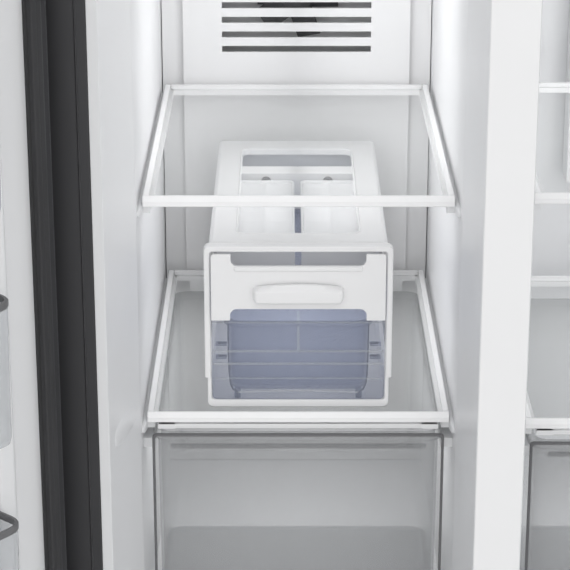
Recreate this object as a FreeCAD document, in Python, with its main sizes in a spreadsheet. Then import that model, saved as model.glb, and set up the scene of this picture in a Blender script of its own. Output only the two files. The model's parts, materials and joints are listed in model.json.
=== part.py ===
import FreeCAD, Part
import math
import os
import re

import Sketcher

# Side by side refrigerator, millimetres. X = 0 is the middle of the cabinet, Y = 0 the front face
# of the cabinet with the inside towards +Y, Z = 0 the floor. Both doors stand open.

SIZES = {
    # cabinet
    "case_width": 912,
    "case_depth": 660,
    "case_bottom": 32,
    "case_top": 1745,
    "sheet_steel": 1.2,
    "side_flange": 65,
    "end_flange_low": 108,
    "end_flange_high": 1700,
    # compartments
    "liner_flange": 10,
    "liner_wall": 2,
    "mullion_left": -38.4,
    "mullion_right": 6.6,
    "mouth_low": 118,
    "mouth_high": 1690,
    "throat_depth": 100,
    "outer_flare": 22,
    "inner_flare": 11,
    "cavity_back": 605,
    "hump_front": 370,
    "hump_top": 345,
    "machine_front": 430,
    "machine_top": 290,
    "machine_half": 440,
    # evaporator cover and coil
    "cover_front": 560,
    "cover_sheet": 4,
    "cover_rise": 8,
    "cover_raised_width": 259,
    "cover_raised_low": 572,
    "cover_margin": 20,
    "cover_wall": 3,
    "slot_width": 170,
    "slot_height": 7,
    "slot_pitch": 17,
    "coil_front": 566,
    "coil_back": 598,
    "coil_low": 400,
    "coil_high": 700,
    "coil_side_gap": 30,
    # fresh food air duct
    "duct_half": 75,
    "duct_front": 565,
    "duct_wall": 3,
    "duct_low": 700,
    "duct_high": 1640,
    "duct_slot_first": 780,
    "duct_slot_pitch": 200,
    "damper_y": 586,
    "damper_z": 1545,
    "damper_pin": 2.5,
    # fans
    "cold_fan_y": 576,
    "cold_fan_z": 920,
    "cold_hub": 17,
    "cold_tip": 48,
    "cold_fan_width": 14,
    "warm_fan_x": -102,
    "warm_fan_y": 545,
    "warm_fan_z": 150,
    "warm_hub": 22,
    "warm_tip": 75,
    "warm_fan_width": 16,
    "blade_thick": 2,
    "blade_root": 3,
    "blade_pitch": 28,
    # machine compartment
    "compressor_x": 262,
    "compressor_y": 545,
    "condenser_left": -376,
    "condenser_right": -160,
    "condenser_front": 480,
    "condenser_back": 610,
    "condenser_low": 60,
    "condenser_high": 190,
    "fin_thick": 1.2,
    "tube_radius": 4,
    "pan_left": -380,
    "pan_right": -140,
    "pan_front": 450,
    "pan_back": 640,
    "pan_height": 20,
    "pan_wall": 2.5,
    "control_left": 303,
    "control_right": 397,
    "control_low": 333,
    "control_high": 397,
    # underside
    "floor_sheet": 2,
    "foot_x": 410,
    "foot_y": 42,
    "foot_pad": 18,
    "stud_radius": 5,
    "foot_plate_half": 22,
    "axle_y": 590,
    "axle_z": 20,
    "axle_radius": 6,
    "roller_radius": 20,
    "roller_near": 390,
    "roller_width": 30,
    "ear_near": 385,
    "ear_far": 425,
    # shelves
    "shelf_front": 125,
    "shelf_depth": 412,
    "shelf_side_gap": 4.8,
    "trim_height": 13.5,
    "trim_depth": 6,
    "rail_width": 10,
    "rail_height": 10,
    "glass_thick": 4,
    "glass_grip": 4,
    "ledge_reach": 12,
    "ledge_height": 10,
    "shelf_pitch": 226,
    "freezer_first_shelf": 600,
    "fridge_first_shelf": 593,
    "fridge_second_shelf": 829,
    "fridge_pitch": 250,
    # drawers
    "drawer_front": 121,
    "drawer_wall": 3,
    "drawer_rim": 9,
    "drawer_gap": 9.6,
    "drawer_play": 0.3,
    "upper_drawer_top": 578,
    "upper_drawer_height": 206,
    "crisper_top": 569,
    "lower_drawer_top": 355,
    "lower_drawer_height": 206,
    "upper_drawer_depth": 400,
    "lower_drawer_depth": 236,
    # doors
    "door_gap": 13,
    "door_thick": 65,
    "door_low": 80,
    "door_high": 1742,
    "door_seam": 4,
    "door_corner": 9,
    "pivot_inset": 10,
    "pivot_depth": 26,
    "pin_radius": 5,
    "pin_play": 0.05,
    "bushing_radius": 8.5,
    "bushing_length": 25,
    "door_open": 130,
    "gasket_width": 13,
    "gasket_inset": 15,
    "gasket_thick": 11,
    "dyke_clearance": 8,
    "dyke_width": 27,
    "dyke_height": 34,
    "door_recess": 17,
    "door_liner_wall": 2.5,
    "bin_wall": 2.5,
    "bin_height": 130,
    "bin_reach": 85,
    "bin_side_gap": 0.3,
    "dairy_low": 1400,
    "dairy_tray_height": 60,
    "dairy_pin_z": 1526.5,
    "dairy_pin_y": 4,
    "dairy_pin_radius": 3,
    "flap_low": 1462,
    "flap_high": 1528,
    "flap_front": 72.5,
    "flap_thick": 2.5,
    "handle_inset": 45,
    "handle_half": 12,
    "handle_low": 700,
    "handle_high": 1500,
    "handle_far": 46,
    "handle_near": 30,
    "post_half": 8,
    "post_height": 30,
    "post_offset": 30,
    # ice maker
    "ice_width": 185,
    "ice_front": 136,
    "ice_depth": 364,
    "ice_height": 171,
    "ice_wall": 3,
    "bezel_depth": 12,
    "bezel_rim": 6,
    "housing_width": 176,
    "ice_base_width": 180,
    "ice_base_height": 33,
    "ice_floor": 8,
    "ice_lift": 0.3,
    "ice_mouth_width": 120,
    "ice_mouth_length": 287,
    "ice_mouth_start": 39,
    "tray_width": 56,
    "tray_length": 206,
    "tray_height": 28,
    "tray_offset": 33.5,
    "tray_pivot_drop": 22,
    "tray_start": 44,
    "tray_columns": 2,
    "tray_rows": 6,
    "tray_pin": 4,
    "cell_wall": 2,
    "panel_height": 69,
    "notch_height": 12,
    "notch_width": 132,
    "lever_width": 88,
    "lever_height": 20,
    "lever_reach": 14,
    "lever_cap": 4.6,
    "lever_gap": 0.4,
    "lever_pin": 2,
    "bearing_front": 37,
    "bearing_front_depth": 5,
    "bearing_rear": 253,
    "bearing_rear_depth": 26,
    "bucket_half": 70,
    "bucket_top_drop": 76.7,
    "bucket_length": 349,
}

doc = FreeCAD.newDocument("SideBySideRefrigerator")
sheet = doc.addObject("Spreadsheet::Sheet", "Sizes")
for row, (alias, value) in enumerate(SIZES.items(), start=1):
    sheet.set(f"A{row}", alias)
    sheet.set(f"B{row}", str(value))
    sheet.setAlias(f"B{row}", alias)
doc.recompute()

# Words shared by several sub-parts, each written in terms of the sheet.
TERMS = {
    "case_left": "(-case_width / 2)",
    "case_right": "(case_width / 2)",
    "freezer_left": "(-case_width / 2 + side_flange + liner_flange)",
    "freezer_right": "mullion_left",
    "fridge_left": "mullion_right",
    "fridge_right": "(case_width / 2 - side_flange - liner_flange)",
    "wall_left": "(-case_width / 2 + side_flange + liner_flange + outer_flare)",
    "wall_right": "(mullion_left - inner_flare)",
    "cool_wall_left": "(mullion_right + inner_flare)",
    "cool_wall_right": "(case_width / 2 - side_flange - liner_flange - outer_flare)",
    "freezer_middle": "((-case_width / 2 + side_flange + liner_flange + outer_flare"
    " + mullion_left - inner_flare) / 2)",
    "fridge_middle": "((case_width / 2 - side_flange - liner_flange - outer_flare"
    " + mullion_right + inner_flare) / 2)",
    "floor_inside": "(mouth_low + outer_flare)",
    "ceiling": "(mouth_high - outer_flare)",
    "door_back": "(-door_gap)",
    "door_front": "(-door_gap - door_thick)",
    "seam": "((mullion_left + mullion_right) / 2)",
    "ice_top": "(freezer_first_shelf + ice_height)",
    "ice_back": "(ice_front + ice_depth)",
    "tray_axis": "(freezer_first_shelf + ice_height - tray_pivot_drop)",
    "panel_back": "(ice_front + 5)",
    "lever_y": "(ice_front - 3)",
    "lever_z": "(freezer_first_shelf + ice_height - tray_pivot_drop - 18)",
    "lever_top": "(freezer_first_shelf + ice_height - tray_pivot_drop - 16)",
}
WORD = re.compile(r"[A-Za-z_]+")


def spelled_out(text):
    """An expression in which shared terms are opened up and every alias names its sheet."""
    opened = WORD.sub(lambda found: TERMS.get(found.group(), found.group()), str(text))
    return WORD.sub(lambda found: ("Sizes." if found.group() in SIZES else "") + found.group(), opened)


def value_of(text):
    """The number that an expression of sheet words stands for."""
    opened = WORD.sub(lambda found: TERMS.get(found.group(), found.group()), str(text))
    total = opened
    for alias in sorted(SIZES, key=len, reverse=True):
        total = re.sub(rf"\b{alias}\b", repr(float(getattr(sheet, alias))), total)
    return FreeCAD.Units.Quantity(total).Value


def bind(item, prop, text):
    item.setExpression(prop, spelled_out(text))


def block(name, x, y, z):
    """A box between two limits on each axis."""
    item = doc.addObject("Part::Box", name)
    for prop, base, (low, high) in (("Length", "x", x), ("Width", "y", y), ("Height", "z", z)):
        bind(item, prop, f"({high}) - ({low})")
        bind(item, f"Placement.Base.{base}", low)
    return item


def taper(name, y, near_x, near_z, far_x, far_z):
    """A block whose cross-section changes from its near face to its far face along Y."""
    item = doc.addObject("Part::Wedge", name)
    limits = {
        "Xmin": near_x[0],
        "Xmax": near_x[1],
        "Zmin": near_z[0],
        "Zmax": near_z[1],
        "X2min": far_x[0],
        "X2max": far_x[1],
        "Z2min": far_z[0],
        "Z2max": far_z[1],
        "Ymin": y[0],
        "Ymax": y[1],
    }
    for prop, text in limits.items():
        setattr(item, prop, value_of(text))
    for prop, text in limits.items():
        bind(item, prop, text)
    return item


AXES = {
    "x": FreeCAD.Rotation(FreeCAD.Vector(0, 1, 0), 90),
    "y": FreeCAD.Rotation(FreeCAD.Vector(1, 0, 0), -90),
    "z": FreeCAD.Rotation(),
}


def around(middle, half):
    """Limits at equal distances either side of a middle."""
    return (f"{middle} - ({half})", f"{middle} + ({half})")


def inset(pair, amount):
    """Limits moved inwards by an amount."""
    return (f"{pair[0]} + ({amount})", f"{pair[1]} - ({amount})")


def rod(name, radius, axis, start, length):
    """A cylinder that runs from a start point along an axis."""
    item = doc.addObject("Part::Cylinder", name)
    item.Placement = FreeCAD.Placement(FreeCAD.Vector(), AXES[axis])
    bind(item, "Radius", radius)
    bind(item, "Height", length)
    for base, text in zip("xyz", start):
        bind(item, f"Placement.Base.{base}", text)
    return item


def joined(name, items):
    """One shape made of touching or overlapping pieces, or a set of separate like pieces."""
    item = doc.addObject("Part::MultiFuse", name)
    item.Shapes = items
    item.Refine = True
    return item


def less(name, base, tools):
    """A shape with others cut away."""
    item = doc.addObject("Part::Cut", name)
    item.Base = base
    item.Tool = tools[0] if len(tools) == 1 else joined(name + "_tools", tools)
    item.Refine = True
    return item


def is_along(edge, axis):
    """Whether an edge is straight and parallel to an axis."""
    ends = edge.Vertexes
    if len(ends) != 2:
        return False
    step = ends[1].Point - ends[0].Point
    return abs(getattr(step, axis)) > 0.999 * step.Length


def rounded(name, base, radius, axis, keep=lambda middle: True):
    """Fillet the straight edges that run along an axis and whose middles are wanted."""
    doc.recompute()
    item = doc.addObject("Part::Fillet", name)
    item.Base = base
    size = value_of(radius)
    wanted = []
    for number, edge in enumerate(base.Shape.Edges, start=1):
        if is_along(edge, axis) and keep(edge.CenterOfMass):
            wanted.append((number, size, size))
    item.Edges = wanted
    return item


def new_body(name, x, y, z):
    body = doc.addObject("PartDesign::Body", name)
    for base, text in zip("xyz", (x, y, z)):
        bind(body, f"Placement.Base.{base}", text)
    return body


def origin_feature(body, role):
    return next(item for item in body.Origin.OriginFeatures if item.Role == role)


def sketch_on(body, name, role, lift="0"):
    sketch = body.newObject("Sketcher::SketchObject", name)
    sketch.AttachmentSupport = (origin_feature(body, role), [""])
    sketch.MapMode = "FlatFace"
    bind(sketch, "AttachmentOffset.Base.z", lift)
    return sketch


def rectangle(sketch, width, height, right="0", up="0"):
    """A rectangle of bound width and height, its middle at a bound distance from the origin."""
    wide, tall = value_of(width), value_of(height)
    middle_x, middle_y = value_of(right), value_of(up)
    corners = [
        FreeCAD.Vector(middle_x + sx * wide / 2, middle_y + sy * tall / 2, 0)
        for sx, sy in ((-1, -1), (1, -1), (1, 1), (-1, 1))
    ]
    first = sketch.GeometryCount
    sides = [Part.LineSegment(corners[n], corners[(n + 1) % 4]) for n in range(4)]
    sketch.addGeometry(sides, False)
    centre = sketch.addGeometry(Part.Point(FreeCAD.Vector(middle_x, middle_y, 0)), True)
    for n in range(4):
        sketch.addConstraint(Sketcher.Constraint("Coincident", first + n, 2, first + (n + 1) % 4, 1))
    for n in (0, 2):
        sketch.addConstraint(Sketcher.Constraint("Horizontal", first + n))
    for n in (1, 3):
        sketch.addConstraint(Sketcher.Constraint("Vertical", first + n))
    sketch.addConstraint(Sketcher.Constraint("Symmetric", first, 1, first + 2, 1, centre, 1))
    for kind, text, value in (("DistanceX", right, middle_x), ("DistanceY", up, middle_y)):
        number = sketch.addConstraint(Sketcher.Constraint(kind, -1, 1, centre, 1, value))
        bind(sketch, f"Constraints[{number}]", text)
    for kind, side, text, value in (("DistanceX", 0, width, wide), ("DistanceY", 1, height, tall)):
        number = sketch.addConstraint(Sketcher.Constraint(kind, first + side, 1, first + side, 2, value))
        bind(sketch, f"Constraints[{number}]", text)


def circle(sketch, radius, right="0", up="0"):
    """A circle of bound radius, its middle at a bound distance from the origin."""
    middle = FreeCAD.Vector(value_of(right), value_of(up), 0)
    ring = sketch.addGeometry(Part.Circle(middle, FreeCAD.Vector(0, 0, 1), value_of(radius)), False)
    number = sketch.addConstraint(Sketcher.Constraint("Radius", ring, value_of(radius)))
    bind(sketch, f"Constraints[{number}]", radius)
    for kind, text, value in (("DistanceX", right, middle.x), ("DistanceY", up, middle.y)):
        number = sketch.addConstraint(Sketcher.Constraint(kind, -1, 1, ring, 3, value))
        bind(sketch, f"Constraints[{number}]", text)


def pad(body, sketch, name, length):
    feature = body.newObject("PartDesign::Pad", name)
    feature.Profile = sketch
    bind(feature, "Length", length)
    return feature


def pocket(body, sketch, name, depth):
    """Cut a sketch into the body, and make sure that it removes something."""
    doc.recompute()
    before = body.Shape.Volume
    feature = body.newObject("PartDesign::Pocket", name)
    feature.Profile = sketch
    bind(feature, "Length", depth)
    doc.recompute()
    if not body.Shape.Volume < before:
        raise ValueError(f"{name} cuts nothing")
    return feature


def row_of(body, feature, name, role, length, count):
    """Repeat a feature along one of the body's axes."""
    pattern = body.newObject("PartDesign::LinearPattern", name)
    pattern.Originals = [feature]
    pattern.Direction = (origin_feature(body, role), [""])
    bind(pattern, "Length", length)
    bind(pattern, "Occurrences", count)
    body.Tip = pattern
    return pattern


def soften(body, feature, name, radius, axis, keep=lambda middle: True):
    """Fillet the body's straight edges that run along an axis."""
    doc.recompute()
    fillet = body.newObject("PartDesign::Fillet", name)
    wanted = []
    for number, edge in enumerate(feature.Shape.Edges, start=1):
        if is_along(edge, axis) and keep(edge.CenterOfMass):
            wanted.append(f"Edge{number}")
    fillet.Base = (feature, wanted)
    bind(fillet, "Radius", radius)
    return fillet


SIDES = (("left", -1), ("right", 1))

nodes = []


def node(item, label):
    """Name a finished sub-part."""
    item.Label = label
    nodes.append(item)
    return item


# ---------------------------------------------------------------- cabinet


def outer_case():
    """The folded steel sides and top, with the front flanges the doors seal against."""
    sides = ("0", "case_depth")
    tall = ("case_bottom", "case_top")
    rim = ("0", "sheet_steel")
    pieces = [
        block("case_side_left", ("case_left", "case_left + sheet_steel"), sides, tall),
        block("case_side_right", ("case_right - sheet_steel", "case_right"), sides, tall),
        block("case_lid", ("case_left", "case_right"), sides, ("case_top - sheet_steel", "case_top")),
        block("flange_left", ("case_left", "case_left + side_flange"), rim, tall),
        block("flange_right", ("case_right - side_flange", "case_right"), rim, tall),
        block("flange_top", ("case_left", "case_right"), rim, ("end_flange_high", "case_top")),
        block("flange_bottom", ("case_left", "case_right"), rim, ("case_bottom", "end_flange_low")),
    ]
    node(joined("case_shell", pieces), "outer_case")


def back_panel():
    """The rear sheet with the window for the power inlet."""
    x = ("case_left + sheet_steel", "case_right - sheet_steel")
    y = ("case_depth - sheet_steel", "case_depth")
    back = block("back_sheet", x, y, ("machine_top + 10", "case_top - sheet_steel"))
    window_x = ("control_left - 1", "control_right + 1")
    window_z = ("control_low - 1", "control_high + 1")
    window = block("back_window", window_x, ("case_depth - 5", "case_depth + 5"), window_z)
    node(less("back_cut", back, [window]), "back_panel")


def machine_cover():
    """The slotted cover over the machine compartment at the back."""
    body = new_body("machine_cover_body", "0", "case_depth", "case_bottom + 2")
    outline = sketch_on(body, "machine_cover_outline", "XZ_Plane")
    height = "(machine_top + 8 - case_bottom)"
    rectangle(outline, "case_width - 4", height, "0", f"{height} / 2")
    pad(body, outline, "machine_cover_sheet", "sheet_steel")
    slot = sketch_on(body, "machine_cover_slot", "XZ_Plane", "sheet_steel")
    rectangle(slot, "8", "90", "-case_width / 2 + 90", "110")
    cut = pocket(body, slot, "machine_cover_vent", "sheet_steel")
    row_of(body, cut, "machine_cover_vents", "X_Axis", "case_width - 180", "25")
    node(body, "machine_cover")


def base_frame():
    """The base pan with the roller brackets at the back and the foot plates at the front."""
    inside = ("case_left + sheet_steel", "case_right - sheet_steel")
    pan_y = ("sheet_steel", "case_depth - sheet_steel")
    pan = block("base_pan", inside, pan_y, ("case_bottom", "case_bottom + floor_sheet"))
    rib_y = ("machine_front - 12", "machine_front - 10")
    rib = block("base_rib", inside, rib_y, ("case_bottom - 12", "case_bottom"))
    pieces = [pan, rib]
    holes = []
    for side, sign in SIDES:
        for part in ("near", "far"):
            ear_x = around(f"{sign} * ear_{part}", "2")
            ear_z = ("axle_z - 12", "case_bottom")
            pieces.append(block(f"roller_ear_{side}_{part}", ear_x, around("axle_y", "20"), ear_z))
        foot_x = around(f"{sign} * foot_x", "foot_plate_half")
        foot_z = ("case_bottom + floor_sheet", "case_bottom + 8")
        pieces.append(block(f"foot_plate_{side}", foot_x, around("foot_y", "foot_plate_half"), foot_z))
        well_x = around(f"{sign} * (roller_near + roller_width / 2)", "roller_width / 2 + 3")
        well_z = ("case_bottom - 1", "case_bottom + 3")
        holes.append(block(f"wheel_well_{side}", well_x, around("axle_y", "24"), well_z))
        start = (f"{sign} * foot_x", "foot_y", "case_bottom - 1")
        holes.append(rod(f"stud_bore_{side}", "stud_radius + pin_play", "z", start, "12"))
    start = ("-ear_far - 15", "axle_y", "axle_z")
    holes.append(rod("axle_bore", "axle_radius + pin_play", "x", start, "2 * ear_far + 30"))
    node(less("base_cut", joined("base_solid", pieces), holes), "base_frame")


def liner_forms(name, mouth, walls):
    """The outer form of a liner and the cavity inside it."""
    wall = "liner_wall"
    mouth_z = ("mouth_low", "mouth_high")
    deep_z = ("floor_inside", "ceiling")
    wide_walls = inset(walls, "-liner_wall")
    wide_deep = inset(deep_z, "-liner_wall")
    flange_x = inset(mouth, "-liner_flange")
    flange = block(f"{name}_flange", flange_x, ("0", wall), inset(mouth_z, "-liner_flange"))
    throat_y = ("0", "throat_depth")
    wide_mouth = inset(mouth, "-liner_wall")
    near_z = inset(mouth_z, "-liner_wall")
    throat_form = taper(f"{name}_throat_form", throat_y, wide_mouth, near_z, wide_walls, wide_deep)
    room_y = ("throat_depth", f"cavity_back + {wall}")
    room_form = block(f"{name}_room_form", wide_walls, room_y, wide_deep)
    hump_y = (f"hump_front + {wall}", "cavity_back + 9")
    hump_z = ("floor_inside - 9", f"hump_top - {wall}")
    hump_form = block(f"{name}_hump_form", inset(walls, "-9"), hump_y, hump_z)
    whole = joined(f"{name}_form", [flange, throat_form, room_form])
    outside = less(f"{name}_outside", whole, [hump_form])
    throat = taper(f"{name}_throat", throat_y, mouth, mouth_z, walls, deep_z)
    room = block(f"{name}_room", walls, ("throat_depth", "cavity_back"), deep_z)
    hump = block(f"{name}_hump", walls, ("hump_front", "cavity_back"), ("floor_inside", "hump_top"))
    cavity = less(f"{name}_cavity", joined(f"{name}_space", [throat, room]), [hump])
    return outside, cavity


def ledges(name, walls, tops):
    """The moulded ribs on the side walls that carry shelves and drawers."""
    pieces = []
    for number, (top, back) in enumerate(tops):
        z = (f"{top} - ledge_height", top)
        y = ("shelf_front + trim_depth + 2", back)
        left = (f"{walls[0]} - 1", f"{walls[0]} + ledge_reach")
        right = (f"{walls[1]} - ledge_reach", f"{walls[1]} + 1")
        pieces.append(block(f"{name}_ledge_left_{number}", left, y, z))
        pieces.append(block(f"{name}_ledge_right_{number}", right, y, z))
    return pieces


FREEZER_LEVELS = [f"freezer_first_shelf + {n} * shelf_pitch" for n in range(5)]
FRIDGE_LEVELS = ["fridge_first_shelf", "fridge_second_shelf"]
FRIDGE_LEVELS += [f"fridge_second_shelf + {n} * fridge_pitch" for n in (1, 2)]


def liner(name, mouth, walls, levels, drawer_top):
    """The moulded inner lining of one compartment, with its ribs."""
    outside, cavity = liner_forms(name, mouth, walls)
    shelf_back = "shelf_front + shelf_depth"
    under_rim = "drawer_rim - drawer_play"
    tops = [(f"{level} - rail_height", shelf_back) for level in levels]
    tops.append((f"{drawer_top} - {under_rim}", "drawer_front + upper_drawer_depth"))
    tops.append((f"lower_drawer_top - {under_rim}", "hump_front"))
    shell = less(f"{name}_shell", outside, [cavity])
    node(joined(f"{name}_ribbed", [shell] + ledges(name, walls, tops)), f"{name}_liner")
    return outside


def cabinet_foam(forms):
    """The insulation between the steel case and the liners."""
    inside = ("case_left + sheet_steel", "case_right - sheet_steel")
    y = ("sheet_steel", "case_depth - sheet_steel")
    fill = block("foam_block", inside, y, ("case_bottom + 8", "case_top - sheet_steel"))
    machine_x = ("-machine_half", "machine_half")
    machine_y = ("machine_front", "case_depth")
    machine = block("machine_space", machine_x, machine_y, ("case_bottom", "machine_top"))
    rims_z = ("end_flange_low", "end_flange_high")
    rims = block("foam_mouth", ("case_left", "case_right"), ("0", "liner_wall"), rims_z)
    inlet_x = ("control_left - 3", "control_right + 3")
    inlet_z = ("control_low - 3", "control_high + 3")
    inlet = block("foam_inlet_pocket", inlet_x, ("case_depth - 30", "case_depth"), inlet_z)
    node(less("foam_fill", fill, forms + [machine, rims, inlet]), "cabinet_foam")


def mullion_cover():
    """The strip between the two mouths, with a tongue that fills the gap between the liners."""
    x = ("mullion_left + 0.5", "mullion_right - 0.5")
    strip_z = ("mouth_low - liner_flange", "mouth_high + liner_flange")
    strip = block("mullion_strip", x, ("-1.5", "0"), strip_z)
    tongue_x = ("mullion_left + liner_flange", "mullion_right - liner_flange")
    tongue = block("mullion_tongue", tongue_x, ("0", "liner_wall"), ("mouth_low", "mouth_high"))
    node(joined("mullion_piece", [strip, tongue]), "mullion_cover")


def evaporator_cover():
    """A full-width panel on the back wall of the freezer, with a hollow raised part and air slots."""
    body = new_body("evaporator_cover_body", "freezer_middle", "cover_front", "hump_top")
    height = "(ceiling - hump_top)"
    outline = sketch_on(body, "cover_outline", "XZ_Plane")
    rectangle(outline, "wall_right - wall_left - 2", f"{height} - 2", "0", f"{height} / 2")
    pad(body, outline, "cover_base", "cover_sheet")
    raised_height = "(ceiling - cover_margin - cover_raised_low)"
    raised_middle = f"(cover_raised_low - hump_top + {raised_height} / 2)"
    raised = sketch_on(body, "cover_raised_outline", "XZ_Plane", "cover_sheet")
    rectangle(raised, "cover_raised_width", raised_height, "0", raised_middle)
    panel = pad(body, raised, "cover_raised_panel", "cover_rise")
    side = value_of("cover_raised_width / 2")
    soften(body, panel, "cover_raised_corners", "8", "y", lambda point: abs(abs(point.x) - side) < 1)
    hollow = sketch_on(body, "cover_hollow_outline", "XZ_Plane")
    narrow = "cover_raised_width - 2 * cover_wall"
    rectangle(hollow, narrow, f"{raised_height} - 2 * cover_wall", "0", raised_middle)
    doc.recompute()
    before = body.Shape.Volume
    room = body.newObject("PartDesign::Pocket", "cover_hollow")
    room.Profile = hollow
    room.Reversed = True
    bind(room, "Length", "cover_sheet + cover_rise - cover_wall")
    doc.recompute()
    if not body.Shape.Volume < before:
        raise ValueError("the cover is not hollow")
    for number, (low, count) in enumerate((("60", 4), ("520", 5), ("930", 5), ("1200", 5))):
        slot = sketch_on(body, f"cover_slot_{number}", "XZ_Plane", "cover_sheet + cover_rise")
        rectangle(slot, "slot_width", "slot_height", "0", low)
        cut = pocket(body, slot, f"cover_slot_cut_{number}", "cover_sheet + cover_rise")
        row_of(body, cut, f"cover_slots_{number}", "Z_Axis", f"{count - 1} * slot_pitch", str(count))
    node(body, "evaporator_cover")


def finned_coil(name, label, x, y, z, fins, rows, columns):
    """A pack of thin plates on straight tubes that run along X."""
    pieces = []
    step = f"(({x[1]}) - ({x[0]}) - fin_thick) / {fins - 1}"
    for number in range(fins):
        low = f"{x[0]} + {number} * {step}"
        pieces.append(block(f"{name}_fin_{number}", (low, f"{low} + fin_thick"), y, z))
    for row in range(rows):
        for column in range(columns):
            across = f"{y[0]} + (({y[1]}) - ({y[0]})) * {(column + 0.5) / columns}"
            up = f"{z[0]} + (({z[1]}) - ({z[0]})) * {(row + 0.5) / rows}"
            start = (f"{x[0]} - 2 * tube_radius", across, up)
            length = f"({x[1]}) - ({x[0]}) + 4 * tube_radius"
            pieces.append(rod(f"{name}_tube_{row}_{column}", "tube_radius", "x", start, length))
    node(joined(f"{name}_pack", pieces), label)


def fan(name, label, blades, middle, axis):
    """A hub with flat pitched blades, sized by the sheet words that start with its name."""
    hub_radius, tip_radius, width = f"{name}_hub", f"{name}_tip", f"{name}_fan_width"
    turn = AXES[axis]
    place = FreeCAD.Placement(FreeCAD.Vector(*[value_of(text) for text in middle]), turn)
    hub = doc.addObject("Part::Cylinder", f"{name}_fan_hub")
    bind(hub, "Radius", hub_radius)
    bind(hub, "Height", width)
    half = FreeCAD.Vector(0, 0, -value_of(width) / 2)
    hub.Placement = place.multiply(FreeCAD.Placement(half, FreeCAD.Rotation()))
    pieces = [hub]
    chord = f"{tip_radius} * 0.62"
    root = value_of(f"{hub_radius} - blade_root")
    pitch = FreeCAD.Rotation(FreeCAD.Vector(1, 0, 0), value_of("blade_pitch"))
    corner = FreeCAD.Vector(0, -value_of(chord) / 2, -value_of("blade_thick") / 2)
    for number in range(blades):
        blade = doc.addObject("Part::Box", f"{name}_blade_{number}")
        bind(blade, "Length", f"{tip_radius} - {hub_radius} + blade_root")
        bind(blade, "Width", chord)
        bind(blade, "Height", "blade_thick")
        spin = FreeCAD.Rotation(FreeCAD.Vector(0, 0, 1), 360 * number / blades)
        blade.Placement = place.multiply(FreeCAD.Placement(FreeCAD.Vector(), spin))
        blade.Placement = blade.Placement.multiply(FreeCAD.Placement(FreeCAD.Vector(root, 0, 0), pitch))
        blade.Placement = blade.Placement.multiply(FreeCAD.Placement(corner, FreeCAD.Rotation()))
        pieces.append(blade)
    node(joined(f"{name}_wheel", pieces), label)


def fan_motors():
    """The two fan motors on their brackets, each just behind its fan."""
    start = ("freezer_middle", "cold_fan_y + 10", "cold_fan_z")
    cold = rod("cold_motor", "cold_hub - 1", "y", start, "14")
    plate_x = around("freezer_middle", "45")
    plate_y = ("cold_fan_y + 24", "cold_fan_y + 26")
    plate = block("cold_motor_plate", plate_x, plate_y, around("cold_fan_z", "15"))
    warm = rod("warm_motor", "warm_hub + 2", "x", ("warm_fan_x + 10", "warm_fan_y", "warm_fan_z"), "30")
    post_x = ("warm_fan_x + 22", "warm_fan_x + 30")
    post_z = ("case_bottom + floor_sheet", "warm_fan_z")
    post = block("warm_motor_post", post_x, around("warm_fan_y", "15"), post_z)
    node(joined("motor_set", [cold, plate, warm, post]), "fan_motors")


def fridge_air_duct():
    """The hollow duct on the back wall of the fresh food side, with outlet slots."""
    outside_y = ("duct_front", "cavity_back - 1")
    z = ("duct_low", "duct_high")
    outside = block("duct_outside", around("fridge_middle", "duct_half"), outside_y, z)
    inside_x = around("fridge_middle", "duct_half - duct_wall")
    inside_y = ("duct_front + duct_wall", "cavity_back")
    inside = block("duct_inside", inside_x, inside_y, inset(z, "duct_wall"))
    slot_y = around("duct_front", "duct_wall + 1")
    holes = [inside]
    for number in range(4):
        low = f"duct_slot_first + {number} * duct_slot_pitch"
        slot_z = (low, f"{low} + 12")
        holes.append(block(f"duct_slot_{number}", around("fridge_middle", "50"), slot_y, slot_z))
    start = ("fridge_middle - duct_half - 5", "damper_y", "damper_z")
    holes.append(rod("damper_bore", "damper_pin + pin_play", "x", start, "2 * duct_half + 10"))
    node(less("duct_shell", outside, holes), "fridge_air_duct")


def damper_flap():
    """The turning plate that lets cold air into the fresh food side."""
    plate_x = around("fridge_middle", "duct_half - 7")
    plate = block("damper_plate", plate_x, around("damper_y", "15"), around("damper_z", "1"))
    start = ("fridge_middle - duct_half + 1", "damper_y", "damper_z")
    pin = rod("damper_axle", "damper_pin", "x", start, "2 * duct_half - 2")
    node(joined("damper_piece", [plate, pin]), "damper_flap")


def lamp_covers():
    """The light covers in the two ceilings."""
    lamps = []
    for name in ("freezer", "fridge"):
        x = around(f"{name}_middle", "70")
        lamps.append(block(f"{name}_lamp", x, ("190", "250"), ("ceiling - 9", "ceiling")))
    node(joined("lamp_set", lamps), "lamp_covers")


# ---------------------------------------------------------------- shelves


def shelf_solids(name, walls, level):
    """A plastic frame with a deep front trim, and the glass set flush into it."""
    x = inset(walls, "shelf_side_gap")
    tall = (f"{level} - rail_height", level)
    back = "shelf_front + shelf_depth"
    behind_trim = "shelf_front + trim_depth"
    trim = block(f"{name}_trim", x, ("shelf_front", behind_trim), (f"{level} - trim_height", level))
    left = block(f"{name}_rail_left", (x[0], f"{x[0]} + rail_width"), (behind_trim, back), tall)
    right = block(f"{name}_rail_right", (f"{x[1]} - rail_width", x[1]), (behind_trim, back), tall)
    rear = block(f"{name}_rail_back", inset(x, "7"), (f"{back} - rail_width", back), tall)
    inner = inset(x, "rail_width - glass_grip")
    length = (f"{behind_trim} - glass_grip", f"{back} - rail_width + glass_grip")
    thick = (f"{level} - glass_thick", level)
    pane = block(f"{name}_pane", inner, length, thick)
    frame = less(f"{name}_frame_cut", joined(f"{name}_frame_set", [trim, left, right, rear]), [pane])
    glass = block(f"{name}_glass_pane", inner, length, thick)
    return frame, glass


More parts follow.
